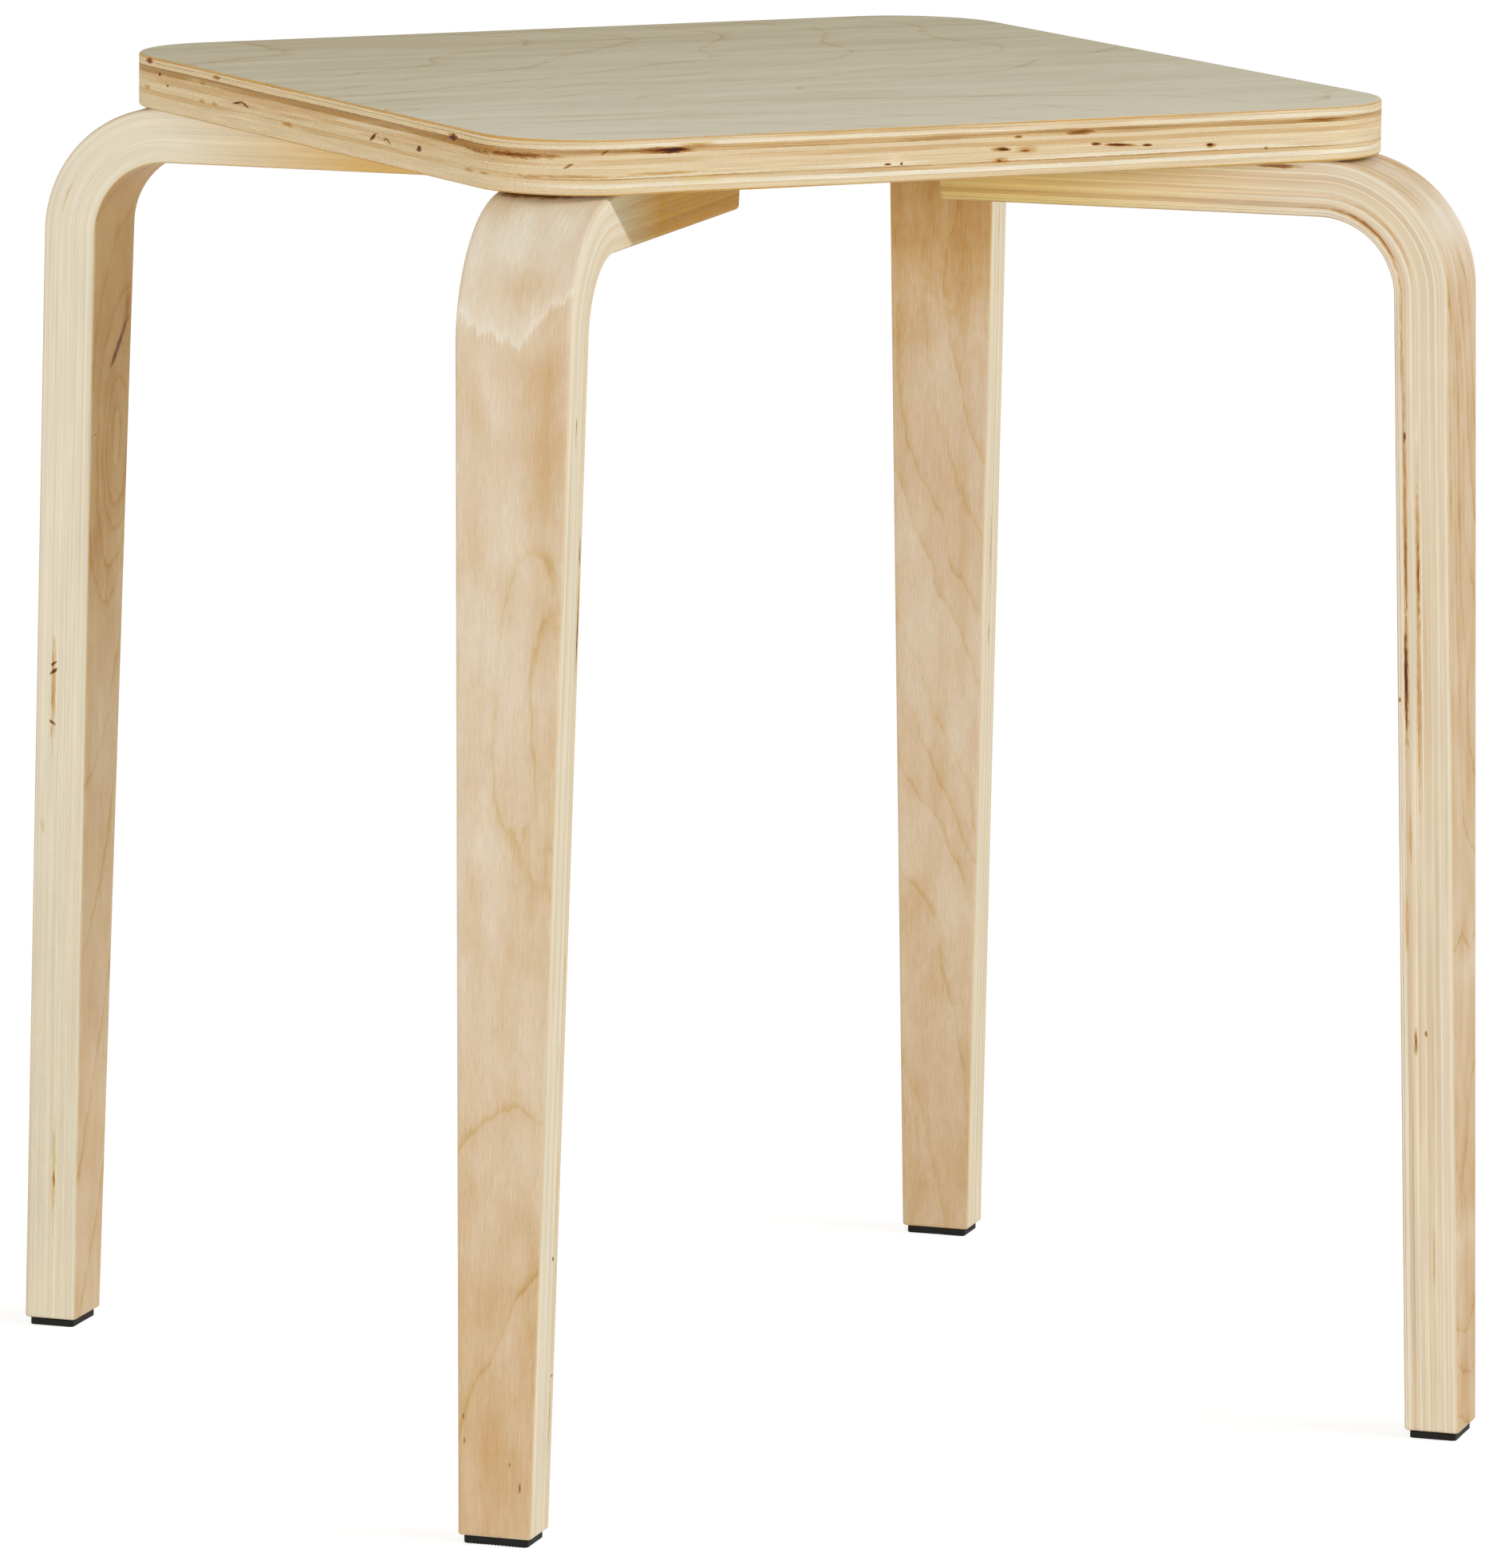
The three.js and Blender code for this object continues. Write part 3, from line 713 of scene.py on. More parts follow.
# Plies as (thickness, tone, tone where figured), from the top of the seat and the outside of a leg
BIRCH_TONES = {
    "ivory": "#efe5ca",
    "cream": "#eaddbd",
    "straw": "#e3cda4",
    "sand": "#dfc79b",
    "tan": "#d3b17e",
    "brown": "#b1884c",
    "umber": "#80593a",
    "honey": "#d9a449",
}
SEAT_PLIES_ALONG = [
    (0.4, "honey", "honey"), (0.1, "brown", "brown"), (1.1, "sand", "tan"), (1.3, "cream", "straw"),
    (0.8, "tan", "brown"), (0.2, "brown", "umber"), (1, "tan", "brown"), (1.4, "straw", "sand"),
    (1.7, "tan", "sand"), (1.2, "straw", "straw"), (2, "sand", "straw"), (1.3, "cream", "sand"),
    (0.3, "brown", "tan"), (1.3, "tan", "sand"), (1.4, "ivory", "cream"), (0.2, "tan", "sand"),
    (1.7, "straw", "sand"), (0.6, "honey", "honey"),
]
SEAT_PLIES_ACROSS = [
    (0.6, "honey", "honey"), (0.1, "umber", "umber"), (0.9, "straw", "sand"), (0.2, "brown", "tan"),
    (1.4, "sand", "straw"), (0.2, "umber", "brown"), (1.8, "brown", "tan"), (0.2, "brown", "tan"),
    (1.4, "tan", "straw"), (1.7, "tan", "sand"), (1.3, "straw", "tan"), (1.4, "sand", "sand"),
    (1.8, "tan", "sand"), (2.4, "sand", "straw"), (2.1, "straw", "sand"), (0.5, "honey", "tan"),
]
LEG_PLIES = {
    "front_left": [
        # On the front left leg, the ivory second ply is partly the wood's pale ply and partly a painted
        # highlight along the arris of its side.
        (1, "sand", "straw"), (1.6, "ivory", "ivory"), (2.6, "cream", "straw"), (1.5, "straw", "cream"),
        (3, "cream", "ivory"), (1.4, "straw", "sand"), (2.4, "cream", "ivory"), (0.2, "sand", "tan"),
        (1.1, "straw", "sand"), (2.4, "straw", "sand"), (1.3, "straw", "cream"), (0.5, "tan", "sand"),
    ],
    "front_right": [
        (0.9, "sand", "tan"), (0.8, "cream", "cream"), (2.3, "straw", "sand"), (0.5, "ivory", "ivory"),
        (2, "sand", "tan"), (0.4, "cream", "straw"), (2.6, "sand", "tan"), (0.5, "cream", "cream"),
        (2.2, "straw", "tan"), (0.8, "cream", "cream"), (1, "sand", "sand"), (1.7, "tan", "brown"),
        (1.2, "cream", "straw"), (0.25, "brown", "brown"), (0.9, "ivory", "cream"), (0.5, "honey", "tan"),
    ],
    "back_left": [
        (1.2, "straw", "sand"), (1.5, "cream", "cream"), (0.2, "sand", "tan"), (1.8, "cream", "ivory"),
        (1.4, "straw", "cream"), (0.2, "sand", "sand"), (2, "ivory", "cream"), (1.5, "straw", "cream"),
        (1.8, "cream", "ivory"), (0.2, "tan", "sand"), (1.6, "cream", "straw"), (1.5, "cream", "ivory"),
        (1.3, "straw", "sand"), (1.4, "cream", "straw"), (0.9, "ivory", "cream"), (0.5, "tan", "tan"),
    ],
    "back_right": [
        (0.8, "sand", "sand"), (1.4, "cream", "ivory"), (0.2, "brown", "tan"), (1.9, "cream", "straw"),
        (1.5, "straw", "cream"), (0.2, "tan", "sand"), (2.4, "cream", "ivory"), (1.6, "straw", "sand"),
        (0.2, "brown", "brown"), (2.2, "cream", "ivory"), (1.5, "straw", "sand"), (2.4, "cream", "cream"),
        (0.2, "tan", "tan"), (1.3, "ivory", "ivory"), (0.9, "straw", "sand"), (0.4, "tan", "tan"),
    ],
}

# How far a leg's plies are alike in tone, as a share, and the tone that they share
EVEN_PLY_SHARES = {
    "front_left": (0.35, "#e9dec3"),
    "front_right": (0.38, "#ebe0cb"),
    "back_left": (0.78, "#e8dec3"),
    "back_right": (0.3, "#e4d8ba"),
}

# Tones of the seat's and the legs' broad faces, by their places from whitish to orange-brown. The
# seat's are partly its veneer's grey-beige and partly painted shade, which darkens its top.
SEAT_FACE_TONES_WITH_SHADE = {0: "#e6dfc7", 0.35: "#d9d0b5", 0.55: "#cbc1a2", 0.8: "#b6a983", 1: "#9f8e66"}
LEG_FACE_TONES = {0: "#f4eddd", 0.2: "#eee4cf", 0.35: "#e7d6ba", 0.5: "#e0c9a8", 0.65: "#d7b98e",
                  0.82: "#cba26a", 1: "#b78851"}

# How much the seat's top greys with each millimetre towards the back, how warm its underside is
# beside it, and the tones of the flecks in its edge and of the painted glints on its face
SEAT_GREYING = 0.0043
UNDERSIDE_TINT = (1.14, 1.06, 0.96)
EDGE_FLECK_TONE = "#6b4a2d"
FACE_GLINT_TONE = "#ddd8c8"

# How strong a growth ring's line is, from its start before the ring to its end after it, and how
# strong the lines are on the seat's top and on each leg's faces
RING_LINE_START = -5
RING_LINE_END = 1
RING_LINE_PROFILE_SHARES = [(0, 0), (0.5, 0.12), (0.72, 0.5), (0.8, 0.8), (0.88, 0.15), (0.96, 0)]
RING_LINE_SHARES = {
    "seat": 0.8,
    "front_left": 1.15,
    "front_right": 1.45,
    "back_left": 1.1,
    "back_right": 0.7,
}

# The growth ring whose wood whitens towards its end, where a leg has one, and how it whitens
PALE_RINGS = {"front_left": 1}
NO_RING = -99
PALE_PROFILE_SHARES = [(0, 0), (0.6, 0.35), (0.85, 0.6), (0.94, 1), (1, 0)]

# Painted warm shade under the seat: what each leg's wood is tinted with towards the end of its arm,
# and how far along that is full. It starts at the same place on every leg, and the broad faces take
# only a share of it.
ARM_PAINTED_SHADE_TINTS = {
    "front_left": ("#f5c94a", 86),
    "front_right": ("#fff0b4", 35),
    "back_left": ("#f2d492", 60),
    "back_right": ("#ffe6b4", 35),
}
ARM_PAINTED_SHADE_START = 128
ARM_PAINTED_SHADE_FACE_SHARE = 0.4

# Stains of the marks and of the growth rings' lines, as the share that each leaves of the wood's
# red, green and blue. Some marks on the legs' faces use them as painted shade and painted light.
STAIN_SHARES = {
    "bark": (0.17, 0.045, 0.008),
    "brown": (0.37, 0.19, 0.05),
    "ochre": (0.70, 0.47, 0.22),
    "rust": (0.50, 0.22, 0.12),
    "tan": (0.91, 0.89, 0.84),
    "honey": (0.94, 0.85, 0.62),
    # The amber stain is used only for painted warm shade.
    "amber_painted_shade": (1.03, 0.91, 0.62),
    "pale": (1.10, 1.14, 1.20),
    "resin": (1.0, 1.0, 0.70),
    "seat_ring_line": (0.70, 0.52, 0.30),
    "leg_ring_line": (0.80, 0.68, 0.40),
}

# How deep a mark reaches into the wood from the seat's front or left edge, or from a leg's side or
# face, and how far from a leg's middle a mark on its side has its own middle
FRONT_MARK_DEPTH = 40
LEFT_MARK_DEPTH = 12
SIDE_MARK_DEPTH = 8
FACE_MARK_DEPTH = 3
SIDE_MARK_OFFSET = 16

# Knots, pith flecks and streaks of filler, and on some legs' faces painted shade and painted light,
# as (place along the edge or leg, place through the plies, half length, half height, tilt in degrees,
# stain, share of the mark with its full stain). A share below 0 keeps the whole mark faint. The
# seat's are on its front and left edges.
SEAT_FRONT_MARKS = [
    (-158, 444.5, 7, 0.8, 0, "brown", -0.3), (-148, 441.6, 1.6, 0.35, 35, "brown", 0.2),
    (-137.5, 446, 1.2, 0.4, 30, "brown", 0.2), (-145, 438.2, 14, 0.5, 0, "ochre", 0.1),
    (-119, 438.6, 13, 0.5, 0.6, "ochre", 0.1), (-116.5, 446, 8.5, 0.9, 0, "brown", 0.2),
    (-113.5, 445.9, 4.2, 0.7, 0, "bark", 0.5), (-105.5, 447.5, 6, 0.6, 0, "ochre", 0.1),
    (-104, 436.5, 8, 2, 0, "resin", -0.6), (-33.5, 440, 4.5, 1.2, 0, "pale", 0.2),
    (-36, 438.1, 1, 0.3, 0, "bark", 0.4), (-31, 438.1, 0.5, 0.4, 0, "bark", 0.4),
    (6, 447.3, 12, 0.35, -2, "pale", 0.3), (5.8, 441.2, 3, 0.7, 0, "brown", 0.1),
    (6.5, 441.2, 1.6, 0.35, 0, "bark", 0.6), (15, 440.8, 3.6, 1, 0, "ochre", 0.1),
    (14.5, 440.4, 1.5, 0.4, 0, "brown", 0.3), (5.5, 437.6, 2.6, 0.9, 0, "ochre", 0.2),
    (5, 437.5, 0.9, 0.35, 0, "brown", 0.5), (12, 445, 1.3, 0.45, 0, "brown", 0.4),
    (35, 445.6, 4.5, 0.7, 2, "brown", 0.3), (41, 441.5, 1.7, 0.35, 0, "bark", 0.6),
    (49.5, 440.9, 4.6, 0.35, -3, "bark", 0.5), (49.5, 440.8, 6, 0.8, -3, "ochre", -1),
    (60, 440.4, 1.5, 0.35, 0, "bark", 0.4), (84, 439.3, 1.8, 0.7, 0, "brown", 0.2),
    (83.6, 439.5, 1, 0.4, 12, "bark", 0.6), (105, 437.5, 0.8, 0.4, 0, "brown", 0.3),
    (127, 446.1, 7, 0.6, 0, "brown", -0.6), (150, 444.5, 3, 0.8, 0, "pale", 0),
    (138, 440, 44, 11, 0, "pale", -0.7),
]
SEAT_LEFT_MARKS = [
    (-145, 444.3, 9, 0.7, 2, "brown", -0.3), (-132, 445.2, 34, 1.3, 1, "ochre", -0.5),
    (-128, 444, 8, 0.5, 2, "brown", -1), (-151, 437.7, 4, 0.4, 0, "ochre", 0.1),
    (-132, 437.3, 2.5, 0.5, 0, "ochre", -0.2), (-122, 437.3, 3.5, 0.7, 0, "ochre", -0.2),
    (-110.1, 446.7, 2.5, 1, 0, "bark", 0.4), (-85.2, 440.3, 1.3, 0.8, -10, "bark", 0.8),
    (-62, 440.3, 1.7, 0.4, 30, "brown", 0.3), (-59.5, 440.7, 1.2, 0.35, -10, "brown", 0.3),
    (-50.5, 440.6, 2.3, 0.55, -30, "bark", 0.6), (15.5, 438, 3.2, 0.7, 0, "ochre", 0.5),
    (49.5, 441.2, 2.6, 0.35, 14, "bark", 0.4), (55, 441.3, 3.4, 0.35, -8, "bark", 0.4),
    (72, 448.1, 3, 0.6, 0, "brown", 0), (83.5, 445.1, 2.4, 0.7, 0, "ochre", 0),
    (74, 439, 1.8, 0.7, 0, "ochre", 0), (84, 438.9, 2.2, 0.6, 0, "ochre", 0),
    (112, 441.4, 0.8, 0.4, 0, "bark", 0.5), (118.6, 444.7, 0.9, 0.45, 0, "bark", 0.5),
    (127, 448.6, 2.3, 0.8, 0, "bark", 0.2), (129, 439.4, 2.4, 0.7, 0, "ochre", 0.1),
]

# Marks on one side of each leg, as (which way across the leg that side faces, marks)
LEG_SIDE_MARKS = {
    "front_left": (1, [
        (50, -4.6, 50, 0.8, 0, "ochre", -2.5), (216, 1.2, 5, 0.6, 0, "ochre", 0),
        (214, 1.2, 2.5, 0.3, 0, "brown", 0.2), (253.5, -6.5, 4, 0.45, 0, "bark", 0.3),
        (277, -6.6, 15, 0.7, 0.4, "brown", 0), (280, -6.6, 7, 0.35, 0.4, "bark", 0.6),
        (388, -5.6, 9, 0.5, 0, "ochre", -0.8), (416, -2.2, 5, 0.4, 0, "ochre", -0.5),
        (460, -5.2, 14, 0.5, 0, "ochre", -1.2), (482.3, -3.7, 0.7, 0.6, 0, "bark", 0.5),
        (521, -6.3, 0.4, 0.8, 0, "brown", 0.4), (534, -5.2, 11, 0.35, 0, "brown", -0.5),
    ]),
    "front_right": (-1, [
        (118, 7, 6, 0.6, 0, "bark", -0.2), (104, -5.2, 6, 0.7, 0, "pale", -0.2),
        (158, -2.3, 18, 0.5, 0, "ochre", -0.3), (156, -6.6, 22, 0.7, -0.6, "ochre", 0.4),
        (158, -6.2, 15, 0.3, -0.6, "brown", 0), (190, -7, 12, 0.6, 0, "ochre", -0.3),
        (207, -7, 9, 0.5, 0, "ochre", 0), (233.5, -6, 1.6, 0.35, 0, "bark", 0.3),
        (232, -2, 6, 0.6, 0, "pale", 0.1), (260, -6.1, 34, 0.6, 0, "ochre", 0.3),
        (277, -6, 14, 0.35, 0, "brown", -0.4), (273, -1.9, 20, 0.6, 0, "ochre", 0.3),
        (281, -1.8, 10, 0.3, 0, "brown", -0.2), (318, -1.9, 34, 0.65, 0, "ochre", 0.1),
        (315, -6.2, 18, 0.7, 0, "brown", 0), (314, -6.3, 11, 0.4, 0, "bark", 0.4),
        (322, -8.7, 0.7, 0.5, 0, "rust", 0.4), (368, -5.2, 10, 0.5, 0, "ochre", -1),
        (398, -6.8, 12, 0.5, 0, "ochre", -0.6), (435, -0.5, 0.9, 0.4, 0, "brown", 0.4),
        (438, -4, 4, 0.5, 0, "brown", 0), (512, 1.6, 10, 0.4, 0, "ochre", -0.8),
    ]),
    "back_left": (1, [
        (176, 3.2, 5, 0.5, 0, "ochre", -1.2), (347, 2.9, 17, 0.7, 0, "ochre", 0.2),
        (338.2, 2.9, 1.2, 0.42, 50, "bark", 0.5), (341, 2.9, 1.4, 0.46, 50, "bark", 0.5),
        (359, 3, 1, 0.4, -55, "bark", 0.5), (395, 6, 3, 0.7, 0, "ochre", -2.5),
        (520, -0.5, 16, 0.6, 0, "ochre", -0.6), (521, -0.6, 3, 0.35, 0, "brown", 0.2),
        (560, 0, 150, 40, 0, "tan", 0),
    ]),
    "back_right": (-1, [
        (201, -0.8, 10, 0.4, 0, "brown", -0.8), (222, -0.5, 5, 0.4, 0, "ochre", -0.3),
        (318, -0.8, 11, 0.4, 0, "brown", -0.4), (351, -0.8, 4, 0.5, 0, "brown", 0),
    ]),
}

# Marks on a leg's outer face, 1, or its inner face, -1, as (face, marks). Their second place is
# across the face. Some of them are painted shade and painted light, as said above each.
LEG_FACE_MARKS_AND_PAINTED_LIGHT = {
    # The brown marks at 135 and 138 along are painted shade under the seat's edge, and the pale one at 149 is
    # painted light on the top of the bend.
    "front_left": (1, [
        (138, -4, 2.4, 11, 0, "brown", 0.2), (149, 3, 16, 22, 0, "pale", -1.5),
        (135, 7, 1.8, 14, 0, "brown", 0), (533, -11, 0.9, 0.25, 0, "brown", 0.3),
        (541, -10.5, 1.1, 0.25, 0, "brown", 0.3), (555, 8.5, 1.4, 0.25, 0, "brown", 0.3),
        (548, 5, 0.8, 0.25, 0, "brown", 0.3),
    ]),
    "back_left": (-1, [
        (217, -13, 5, 2.2, 20, "ochre", -0.2), (228, -6, 9.5, 1.4, 44, "brown", 0.3),
        (229.5, -4.8, 7, 0.6, 44, "brown", 0.3), (257.5, 14, 0.5, 0.6, 0, "bark", 0.4),
        # The amber mark at 190 along is painted warm shade under the seat.
        (190, 0, 120, 60, 0, "amber_painted_shade", 0.2), (450, 0, 200, 60, 0, "honey", -4),
    ]),
    "back_right": (-1, [
        # The honey mark at 180 along is painted warm shade under the seat.
        (180, 0, 50, 60, 0, "honey", 0.3), (570, 0, 90, 60, 0, "tan", 0),
    ]),
}


# Sizes of the patterns' clouds in millimetres: along, across and through a leg or the top veneer,
# or in X, Y and Z. Fibres, pores, skin and grit are finer on the real thing, and are drawn here as
# coarse as they need to be to show.
PATTERN_SIZES = {
    "ring_waver": (14, 4, 5),
    "seat_face_clouds": (90, 13, 13),
    "leg_face_clouds": (30, 13, 13),
    "face_bands": (150, 6, 6),
    "face_threads": (12, 0.7, 2),
    "face_fibres": (4, 0.35, 1),
    "mark_edges": (4, 2.5, 0.6),
    "seat_ply_waver": (90, 90, 15),
    "seat_ply_fuzz": (2.5, 2.5, 0.8),
    "seat_ply_patches": (55, 55, 2.5),
    "seat_ply_lines": (26, 26, 0.25),
    "seat_pores": (0.7, 0.7, 0.45),
    "seat_painted_glints": (1.1, 1.1, 1.1),
    "pith_flecks": (7, 7, 0.9),
    "underside_waves": (330, 90, 400),
    "leg_ply_waver": (140, 30, 14),
    "leg_ply_fuzz": (8, 4, 0.8),
    "leg_ply_patches": (110, 25, 2.8),
    "leg_ply_lines": (120, 20, 0.35),
    "leg_side_clouds": (38, 20, 2.5),
    "leg_pores": (0.5, 0.5, 0.4),
    "rubber_dust": (5, 5, 3),
    "rubber_skin": (0.35, 0.35, 0.35),
    "zinc_clouds": (3, 3, 3),
    "zinc_grit": (0.25, 0.25, 0.25),
}
PATTERN_SEED_STEPS = (17.3, 5.9, 9.7)

# How far the plies and the growth rings waver, and how fuzzy the plies' edges are
PLY_WAVERS = {"seat": 0.3, "leg": 0.35}
PLY_FUZZ = 0.12
RING_WAVER = 1.4

# The underside's growth rings: how far apart they lie, how far they wander, counted in rings, and
# the spacing that their lines are drawn for
UNDERSIDE_RING_PITCH = 24
UNDERSIDE_RING_WANDER = 4.5
UNDERSIDE_RING_SPACING = 17


def linear(hex_colour):
    """An sRGB hex colour as linear RGBA."""
    parts = [int(hex_colour[i : i + 2], 16) / 255 for i in (1, 3, 5)]
    return (*[p / 12.92 if p <= 0.04045 else ((p + 0.055) / 1.055) ** 2.4 for p in parts], 1)


def start_material(name):
    """A new material and its empty node tree."""
    material = bpy.data.materials.new(name)
    material.use_nodes = True
    material.node_tree.nodes.clear()
    return material, material.node_tree


def add(tree, kind, inputs=(), stops=(), **settings):
    """Adds a node with its settings, and sets or links its inputs by name or in their order.

    Only live inputs count. A value that is a node is linked from its first live output. Stops are
    a ramp's places and colours or grey levels.
    """
    made = tree.nodes.new("ShaderNode" + kind)
    for name, value in settings.items():
        setattr(made, name, value)
    live = [socket for socket in made.inputs if socket.enabled]
    for key, value in inputs.items() if isinstance(inputs, dict) else enumerate(inputs):
        socket = live[key] if isinstance(key, int) else next(s for s in live if s.name == key)
        if isinstance(value, bpy.types.Node):
            value = next(output for output in value.outputs if output.enabled)
        if isinstance(value, bpy.types.NodeSocket):
            tree.links.new(value, socket)
        else:
            socket.default_value = value
    if stops:
        elements = made.color_ramp.elements
        while len(elements) < len(stops):
            elements.new(1)
        for element, (place, colour) in zip(elements, stops):
            element.position = place
        for element, (place, colour) in zip(elements, stops):
            element.color = colour if isinstance(colour, tuple) else (colour, colour, colour, 1)
    return made


def object_place(tree):
    """The place on the object, in millimetres."""
    place = add(tree, "TexCoord").outputs["Object"]
    return add(tree, "VectorMath", (place, 1 / MM), operation="SCALE")


def weighted(tree, start, *terms):
    """The start plus each pattern times its amount."""
    for pattern, amount in terms:
        start = add(tree, "Math", (pattern, amount, start), operation="MULTIPLY_ADD")
    return start


def stained(tree, colour, stain, share):
    """The colour times what the stain leaves, raised to the power of the share."""
    left = add(tree, "Gamma", ((*STAIN_SHARES[stain], 1), share))
    return add(tree, "VectorMath", (colour, left), operation="MULTIPLY")


def streaks(tree, place, pattern, seed, detail=2.0):
    """Cloudy pattern either side of 0, whose clouds have the pattern's sizes."""
    scaled = add(tree, "Mapping", {
        "Vector": place,
        "Location": tuple(seed * step for step in PATTERN_SEED_STEPS),
        "Scale": tuple(1 / size for size in PATTERN_SIZES[pattern]),
    })
    return add(tree, "TexNoise", {"Vector": scaled, "Scale": 1.0, "Detail": detail}, normalize=False)


def finish(tree, colour, gloss, roughness, relief, strength, height, **constants):
    """Ends a material's tree with its shader and output.

    The gloss pattern moves the roughness between two values. The relief pattern raises bumps of
    this strength and of this height in millimetres. Constants are shader inputs with _ for a space.
    """
    rough = add(tree, "MapRange", (gloss, -0.5, 0.5, *roughness))
    normal = add(tree, "Bump", {"Strength": strength, "Distance": height * MM, "Height": relief})
    shader = add(tree, "BsdfPrincipled", {"Base Color": colour, "Roughness": rough, "Normal": normal})
    for name, value in constants.items():
        shader.inputs[name.replace("_", " ")].default_value = value
    add(tree, "OutputMaterial", {"Surface": shader})


def ply_place(tree, place, through, outer_face, inner_face, part, seed):
    """How deep a place lies among the plies, from 0 to 1, and how figured the veneers are there.

    The plies run unevenly: a slow waver and a fine fuzz shift the place through them.
    """
    waver = streaks(tree, place, f"{part}_ply_waver", seed)
    fuzz = streaks(tree, place, f"{part}_ply_fuzz", seed + 1)
    patches = streaks(tree, place, f"{part}_ply_patches", seed + 2)
    depth = weighted(tree, through, (waver, PLY_WAVERS[part]), (fuzz, PLY_FUZZ))
    depth = add(tree, "MapRange", (depth, outer_face, inner_face))
    return depth, add(tree, "MapRange", (patches, -0.1, 0.5))


def ply_colours(tree, depth, figured, plies):
    """Colours of glued plies by depth, from their plain tones to their tones where figured."""
    total = sum(thickness for thickness, _, _ in plies)
    starts = np.cumsum([0] + [thickness for thickness, _, _ in plies[:-1]]) / total
    mixed = []
    for tone in (1, 2):
        stops = [(float(start), linear(BIRCH_TONES[ply[tone]])) for start, ply in zip(starts, plies)]
        ramp = add(tree, "ValToRGB", {"Fac": depth}, stops)
        ramp.color_ramp.interpolation = "CONSTANT"
        mixed.append(ramp)
    return add(tree, "Mix", (figured, *mixed), data_type="RGBA")


def veneer(tree, place, count, spacing, tone, tones, part, line_share, pale_ring, seed):
    """Colour of a peeled birch face, and the height of its fibres.

    place has the grain along X, in millimetres. Each growth ring has a tone of its own and ends in
    a thin soft golden line, which is found from the ring's count and the rings' spacing. The wood
    whitens towards the end of the pale ring. The part is the seat or a leg.
    """
    waver = streaks(tree, place, "ring_waver", seed)
    waver = add(tree, "Math", (waver, spacing), operation="DIVIDE")
    count = weighted(tree, count, (waver, RING_WAVER))
    ring = add(tree, "Math", (count,), operation="FLOOR")
    ring_tone = add(tree, "TexWhiteNoise", {"W": ring}, noise_dimensions="1D").outputs["Value"]
    from_line = add(tree, "Math", (count, 0.5), operation="ADD")
    from_line = add(tree, "Math", (from_line,), operation="FRACT")
    from_line = add(tree, "Math", (from_line, 0.5), operation="SUBTRACT")
    from_line = add(tree, "Math", (from_line, spacing), operation="MULTIPLY")
    line = add(tree, "MapRange", (from_line, RING_LINE_START, RING_LINE_END))
    line = add(tree, "ValToRGB", {"Fac": line}, RING_LINE_PROFILE_SHARES)
    clouds = streaks(tree, place, f"{part}_face_clouds", seed + 1, 4.0)
    bands = streaks(tree, place, "face_bands", seed + 2)
    threads = streaks(tree, place, "face_threads", seed + 3)
    fibres = streaks(tree, place, "face_fibres", seed + 4, 1.0)
    to_pale = add(tree, "Math", (count, pale_ring), operation="SUBTRACT")
    to_pale = weighted(tree, to_pale, (threads, 0.011))
    pale = add(tree, "MapRange", (to_pale, -0.2, 0.03))
    pale = add(tree, "ValToRGB", {"Fac": pale}, PALE_PROFILE_SHARES)
    tone = weighted(tree, tone, (ring_tone, 0.15), (clouds, 0.38), (bands, 0.14), (threads, 0.16),
                    (pale, -0.7))
    tone = add(tree, "MapRange", (tone, -1.5, 1.5))
    colour = add(tree, "ValToRGB", {"Fac": tone}, [(at, linear(colour)) for at, colour in tones.items()])
    faint = add(tree, "MapRange", (clouds, -0.4, 0.4, 0.35, 1.0))
    past_pale = add(tree, "MapRange", (to_pale, 0.1, 0.3))
    for share in (faint, past_pale, line_share):
        line = add(tree, "Math", (line, share), operation="MULTIPLY")
    colour = stained(tree, colour, f"{part}_ring_line", line)
    shine = weighted(tree, 1.0, (fibres, 0.1))
    return add(tree, "VectorMath", (colour, shine), operation="SCALE"), fibres


def with_third(pair, axis, value):
    """A pair of numbers with a third put in for an axis."""
    return (*pair[:axis], value, *pair[axis:])


def marked(tree, place, colour, marks, axis, at, depth):
    """Lays a table's marks on a colour, as ellipsoids that reach this deep along an axis.

    Their middles lie on that axis where it says. Each turns about the axis by its tilt, and its
    stain fades outwards from its full share.
    """
    uneven = streaks(tree, place, "mark_edges", 31)
    for u, v, half_length, half_height, tilt, stain, full_share in marks:
        turn = math.radians(-tilt if axis == 1 else tilt)
        local = add(tree, "Mapping", {
            "Vector": place,
            "Location": with_third((u, v), axis, at),
            "Rotation": with_third((0, 0), axis, turn),
            "Scale": with_third((half_length, half_height), axis, depth),
        }, vector_type="TEXTURE")
        distance = add(tree, "VectorMath", (local,), operation="LENGTH")
        distance = weighted(tree, distance, (uneven, 0.5))
        share = add(tree, "MapRange", (distance, 1.4, full_share))
        colour = stained(tree, colour, stain, share)
    return colour
